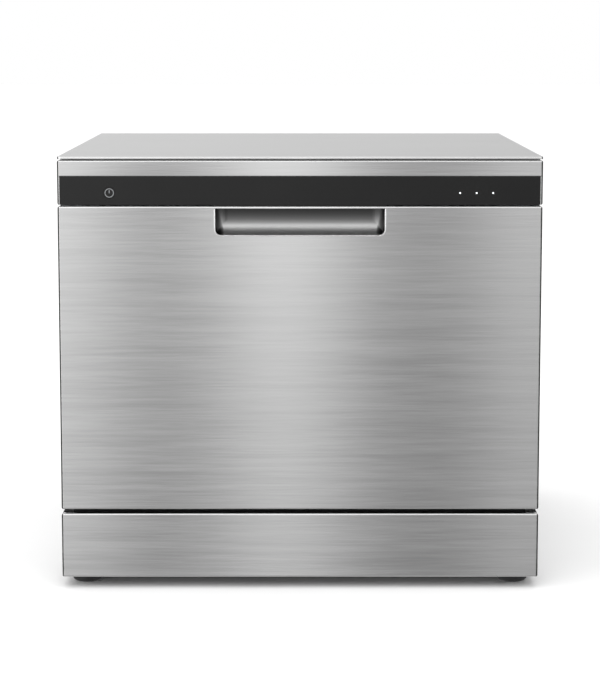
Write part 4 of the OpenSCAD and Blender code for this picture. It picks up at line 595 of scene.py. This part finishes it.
for side in (-1, 1):
    # the plates that hold the rack on its runners
    for start in BRACKETS:
        y = rack_low.y + start
        inner, outer = sorted((side * side_x, side * rack_high.x))
        draw_plate(rack, (inner, y, runner_low.z), (outer, y + BRACKET_W, rim_z))
    # the eyes that the folding tines turn in
    eye_x = min(side * (side_x - WIRE_R - EYE_GAP), side * (side_x - WIRE_R - EYE_GAP - EYE_T))
    draw_plate(rack, (eye_x, fold_y - EYE_HALF, cross_z), (eye_x + EYE_T, fold_y + EYE_HALF, fold_z + EYE_HALF),
               EYE_SOFT)
# the eyes that the cup shelf turns in
for y in (shelf_low.y + EYE_T, shelf_high.y - 2 * EYE_T):
    draw_plate(rack, (-side_x - EYE_GAP, y, rim_z), (shelf_x + EYE_HALF, y + EYE_T, shelf_z + EYE_HALF), EYE_SOFT)
make_piece("rack_basket_wires", rack, WIRE_NYLON, "rack", ["rack_basket"])

tines = bmesh.new()
draw_wire(tines, [(folding_low.x, fold_y, fold_z), (folding_high.x, fold_y, fold_z)], PIVOT_R)
for x in spread(-rack_x + TINE_INSET, rack_x - TINE_INSET, WIRE_PITCH):
    draw_wire(tines, [(x, fold_y, fold_z), (x, fold_y, folding_high.z - TINE_TIP), (x, fold_y, folding_high.z)],
              WIRE_R)
make_piece("folding_tine_wires", tines, WIRE_NYLON, "folding_tines", ["folding_tines"])

shelf = bmesh.new()
draw_wire(shelf, [(shelf_x, shelf_low.y, shelf_z), (shelf_x, shelf_high.y, shelf_z)], PIVOT_R)
shelf_wires = spread(shelf_low.y + SHELF_INSET, shelf_high.y - SHELF_INSET, WIRE_PITCH)
for y in shelf_wires[1:-1]:
    draw_wire(shelf, [(shelf_x, y, shelf_z), (shelf_reach_x, y, shelf_z)], TINE_R)
draw_wire(shelf, rounded_path([(shelf_x, shelf_wires[0], shelf_z), (shelf_reach_x, shelf_wires[0], shelf_z),
                               (shelf_reach_x, shelf_wires[-1], shelf_z), (shelf_x, shelf_wires[-1], shelf_z)],
                              SHELF_BEND), WIRE_R)
middle_x = (shelf_x + shelf_reach_x) / 2
draw_wire(shelf, [(middle_x, shelf_wires[0], shelf_z), (middle_x, shelf_wires[-1], shelf_z)], WIRE_R)
make_piece("cup_shelf_wires", shelf, WIRE_NYLON, "cup_shelf", ["cup_shelf"])

# the door's balance springs, wound round their pins
SPRING_TURNS, SPRING_PITCH, SPRING_WIRE_R = 7, 2.1, 0.9
TURN_STEPS = 24
spring_low, spring_high = corners_mm("hinge_springs")
coil_y, coil_z = (spring_low.y + spring_high.y) / 2, (spring_low.z + spring_high.z) / 2
coil_r = (spring_high.z - spring_low.z) / 2 - SPRING_WIRE_R
springs = bmesh.new()
for side in (-1, 1):
    start_x = spring_high.x - SPRING_TURNS * SPRING_PITCH - SPRING_WIRE_R
    coil = [(side * (start_x + SPRING_PITCH * turn), coil_y + coil_r * math.cos(math.tau * turn),
             coil_z + coil_r * math.sin(math.tau * turn))
            for turn in (i / TURN_STEPS for i in range(TURN_STEPS * SPRING_TURNS + 1))]
    draw_wire(springs, coil, SPRING_WIRE_R, 8)
make_piece("hinge_spring_coils", springs, ZINC_PLATED, "cabinet", ["hinge_springs"])

# the bright rolled rim round the grip's opening, at both ends and the foot, which stands just proud of the door
RIM_WIRE_R, RIM_PROUD = 0.9, 0.3
rim_y = corners_mm("door_panel")[0].y + RIM_WIRE_R - RIM_PROUD
rim = bmesh.new()
draw_wire(rim, rounded_path([(-grip_x, rim_y, grip_top_z), (-grip_x, rim_y, grip_foot_z),
                             (grip_x, rim_y, grip_foot_z), (grip_x, rim_y, grip_top_z)], GRIP_CORNER_R), RIM_WIRE_R)
make_piece("grip_rim", rim, RIM_STEEL, "door")

# the fine upright stroke on the power key, from just under its middle to the ring
STROKE_W, STROKE_BELOW, STROKE_ABOVE, STROKE_T = 1.0, 0.4, 3.2, 0.5
key_low, key_high = corners_mm("power_key_ring")
key_x, key_z = (key_low.x + key_high.x) / 2, (key_low.z + key_high.z) / 2
stroke = bmesh.new()
draw_plate(stroke, (key_x - STROKE_W / 2, key_low.y, key_z - STROKE_BELOW),
           (key_x + STROKE_W / 2, key_low.y + STROKE_T, key_z + STROKE_ABOVE), 0.1)
make_piece("power_key_stroke", stroke, RING_PIPE, "power_key")


# ---- studio ----

def softbox(name, width, height, place, aim, watts):
    """A rectangular diffused lamp that faces a point."""
    lamp = bpy.data.lights.new(name, "AREA")
    lamp.shape = "RECTANGLE"
    lamp.size, lamp.size_y = width, height
    lamp.energy = watts
    holder = bpy.data.objects.new(name, lamp)
    holder.location = place
    holder.rotation_euler = (Vector(aim) - Vector(place)).to_track_quat("-Z", "Y").to_euler()
    holder.visible_glossy = False
    bpy.context.scene.collection.objects.link(holder)


# a sheet of white paper under it; mirrors don't see it, so that the steel has the whole studio round it
PAPER_HALF = 20.0      # metres
paper, tree, place = begin_finish("paper_matt_white")
pulp = add_node(tree, "ShaderNodeMapping", {"Vector": place, "Scale": per_mm(120)})
fleck = add_node(tree, "ShaderNodeTexNoise", {"Vector": pulp.outputs["Vector"], "Scale": 1.0, "Detail": 2.0})
colour = add_node(tree, "ShaderNodeValToRGB", {"Fac": fleck.outputs["Fac"]})
colour.color_ramp.elements[0].color = linear("#f4f4f4")
colour.color_ramp.elements[1].color = linear("#f7f7f7")
finish_surface(tree, Base_Color=colour.outputs["Color"], Roughness=0.9)
sheet = bmesh.new()
sheet.faces.new([sheet.verts.new((x * PAPER_HALF, y * PAPER_HALF, 0)) for x, y in ((-1, -1), (1, -1), (1, 1), (-1, 1))])
floor_mesh = bpy.data.meshes.new("floor")
sheet.to_mesh(floor_mesh)
sheet.free()
floor_mesh.materials.append(paper)
floor = bpy.data.objects.new("floor", floor_mesh)
floor.visible_glossy = False
bpy.context.scene.collection.objects.link(floor)

# The studio as the steel mirrors it, where 1 is plain white. Each pair is a direction and how bright it is. Only
# mirrored and scattered light has it; the camera sees plain white behind the machine.
BRIGHTEST = 2.5
# bright cloths and darker gaps side by side behind the camera, at sideways over forward
CLOTHS = [(-0.60, 1.7), (-0.40, 1.5), (-0.22, 1.25), (-0.135, 1.05), (-0.110, 0.92), (-0.086, 0.58), (-0.062, 0.53),
          (-0.037, 0.80), (-0.013, 1.10), (0.011, 0.92), (0.036, 0.54), (0.060, 0.42), (0.084, 0.46), (0.110, 0.76),
          (0.14, 0.70), (0.22, 0.40), (0.45, 0.40), (0.60, 1.0)]
# tall lamps at both sides in front and black flags behind them, at turns from the front to the back
SIDES = [(0.0, 0.8), (0.1, 1.0), (0.17, 1.7), (0.33, 1.7), (0.42, 1.5), (0.5, 0.9), (0.56, 0.4), (0.66, 0.35),
         (0.75, 0.6), (0.92, 0.75), (1.0, 0.75)]
# the cloths get darker downwards, by height over forward
FADE = {"From Min": -0.225, "From Max": -0.07, "To Min": 0.68, "To Max": 1.25}
# high up it is bright in front and dimmer behind; low down it is dim in front
ABOVE = {"From Min": -0.8, "From Max": 0.2, "To Min": 2.0 / BRIGHTEST, "To Max": 0.9 / BRIGHTEST}
BELOW = {"From Min": -0.6, "From Max": 0.3, "To Min": 0.45 / BRIGHTEST, "To Max": 0.75 / BRIGHTEST}
RISING = {"From Min": 0.3, "From Max": 0.55}
SINKING = {"From Min": -0.2, "From Max": -0.34}
# the left-hand side is a little brighter than the right
HAND = {"From Min": -0.3, "From Max": 0.3, "To Min": 1.12, "To Max": 0.86}
# where the cloths end and the rest of the studio starts, by how far a direction turns from the front
TURNED = {"From Min": -0.92, "From Max": -0.8}
LEAST_FORWARD = 0.05   # keeps the divisions below from running away at the sides


def draw_levels(ramp, levels):
    """Lays the pairs along the ramp, from the first direction to the last."""
    first, last = levels[0][0], levels[-1][0]
    while len(ramp.elements) > 1:
        ramp.elements.remove(ramp.elements[-1])
    for i, (direction, bright) in enumerate(levels):
        stop = (direction - first) / (last - first)
        element = ramp.elements.new(stop) if i else ramp.elements[0]
        element.position = stop
        element.color = (bright / BRIGHTEST,) * 3 + (1.0,)


world = bpy.data.worlds.new("studio")
bpy.context.scene.world = world
world.use_nodes = True
tree = world.node_tree
tree.nodes.clear()
way = add_node(tree, "ShaderNodeSeparateXYZ", {"Vector": add_node(tree, "ShaderNodeTexCoord", {}).outputs["Generated"]})
forward = add_node(tree, "ShaderNodeMath", {0: way.outputs["Y"], 1: -1.0}, operation="MULTIPLY")
ahead = add_node(tree, "ShaderNodeMath", {0: forward.outputs[0], 1: LEAST_FORWARD}, operation="MAXIMUM")
sideways = add_node(tree, "ShaderNodeMath", {0: way.outputs["X"], 1: ahead.outputs[0]}, operation="DIVIDE")
along = add_node(tree, "ShaderNodeMapRange", {"Value": sideways.outputs[0], "From Min": CLOTHS[0][0],
                                              "From Max": CLOTHS[-1][0]})
cloths = add_node(tree, "ShaderNodeValToRGB", {"Fac": along.outputs["Result"]})
cloths.color_ramp.interpolation = "CARDINAL"
draw_levels(cloths.color_ramp, CLOTHS)
height = add_node(tree, "ShaderNodeMath", {0: way.outputs["Z"], 1: ahead.outputs[0]}, operation="DIVIDE")
fade = add_node(tree, "ShaderNodeMapRange", {"Value": height.outputs[0], **FADE})
front = add_node(tree, "ShaderNodeMath", {0: cloths.outputs["Color"], 1: fade.outputs["Result"]},
                 operation="MULTIPLY")
turn = add_node(tree, "ShaderNodeMath", {0: way.outputs["X"], 1: forward.outputs[0]}, operation="ARCTAN2")
turn = add_node(tree, "ShaderNodeMath", {0: turn.outputs[0]}, operation="ABSOLUTE")
turn = add_node(tree, "ShaderNodeMath", {0: turn.outputs[0], 1: math.pi}, operation="DIVIDE")
sides = add_node(tree, "ShaderNodeValToRGB", {"Fac": turn.outputs[0]})
draw_levels(sides.color_ramp, SIDES)
above = add_node(tree, "ShaderNodeMapRange", {"Value": way.outputs["Y"], **ABOVE})
below = add_node(tree, "ShaderNodeMapRange", {"Value": way.outputs["Y"], **BELOW})
rising = add_node(tree, "ShaderNodeMapRange", {"Value": way.outputs["Z"], **RISING})
sinking = add_node(tree, "ShaderNodeMapRange", {"Value": way.outputs["Z"], **SINKING})
around = add_node(tree, "ShaderNodeMix", {"Factor": rising.outputs["Result"], "A": sides.outputs["Color"],
                                          "B": above.outputs["Result"]})
around = add_node(tree, "ShaderNodeMix", {"Factor": sinking.outputs["Result"], "A": around.outputs["Result"],
                                          "B": below.outputs["Result"]})
hand = add_node(tree, "ShaderNodeMapRange", {"Value": way.outputs["X"], **HAND})
around = add_node(tree, "ShaderNodeMath", {0: around.outputs["Result"], 1: hand.outputs["Result"]},
                  operation="MULTIPLY")
turned = add_node(tree, "ShaderNodeMapRange", {"Value": way.outputs["Y"], **TURNED})
lit = add_node(tree, "ShaderNodeMix", {"Factor": turned.outputs["Result"], "A": front.outputs[0],
                                       "B": around.outputs[0]})
lit = add_node(tree, "ShaderNodeMath", {0: lit.outputs["Result"], 1: BRIGHTEST}, operation="MULTIPLY")
seen = add_node(tree, "ShaderNodeMix", {"Factor": add_node(tree, "ShaderNodeLightPath", {}).outputs["Is Camera Ray"],
                                        "A": lit.outputs[0], "B": 1.0})
glow = add_node(tree, "ShaderNodeBackground", {"Color": linear("#ffffff"), "Strength": seen.outputs["Result"]})
add_node(tree, "ShaderNodeOutputWorld", {"Surface": glow.outputs["Background"]})
bpy.context.scene.view_settings.view_transform = "Standard"

softbox("overhead_softbox", 3.0, 3.0, (0.0, 0.6, 3.2), (0, 0.2, 0.0), 30)

# the camera looks at the front, a little from above; the shift takes the rest of the photograph's tilt (metres)
CAMERA_AT, PITCH_DOWN = (0.0, -2.479, 0.6438), 6.51
view = bpy.data.cameras.new("view")
view.lens = 103.65
view.shift_y = -0.13
view.clip_end = 100
camera = bpy.data.objects.new("view", view)
camera.location = CAMERA_AT
camera.rotation_euler = (math.radians(90 - PITCH_DOWN), 0, 0)
bpy.context.scene.collection.objects.link(camera)
bpy.context.scene.camera = camera
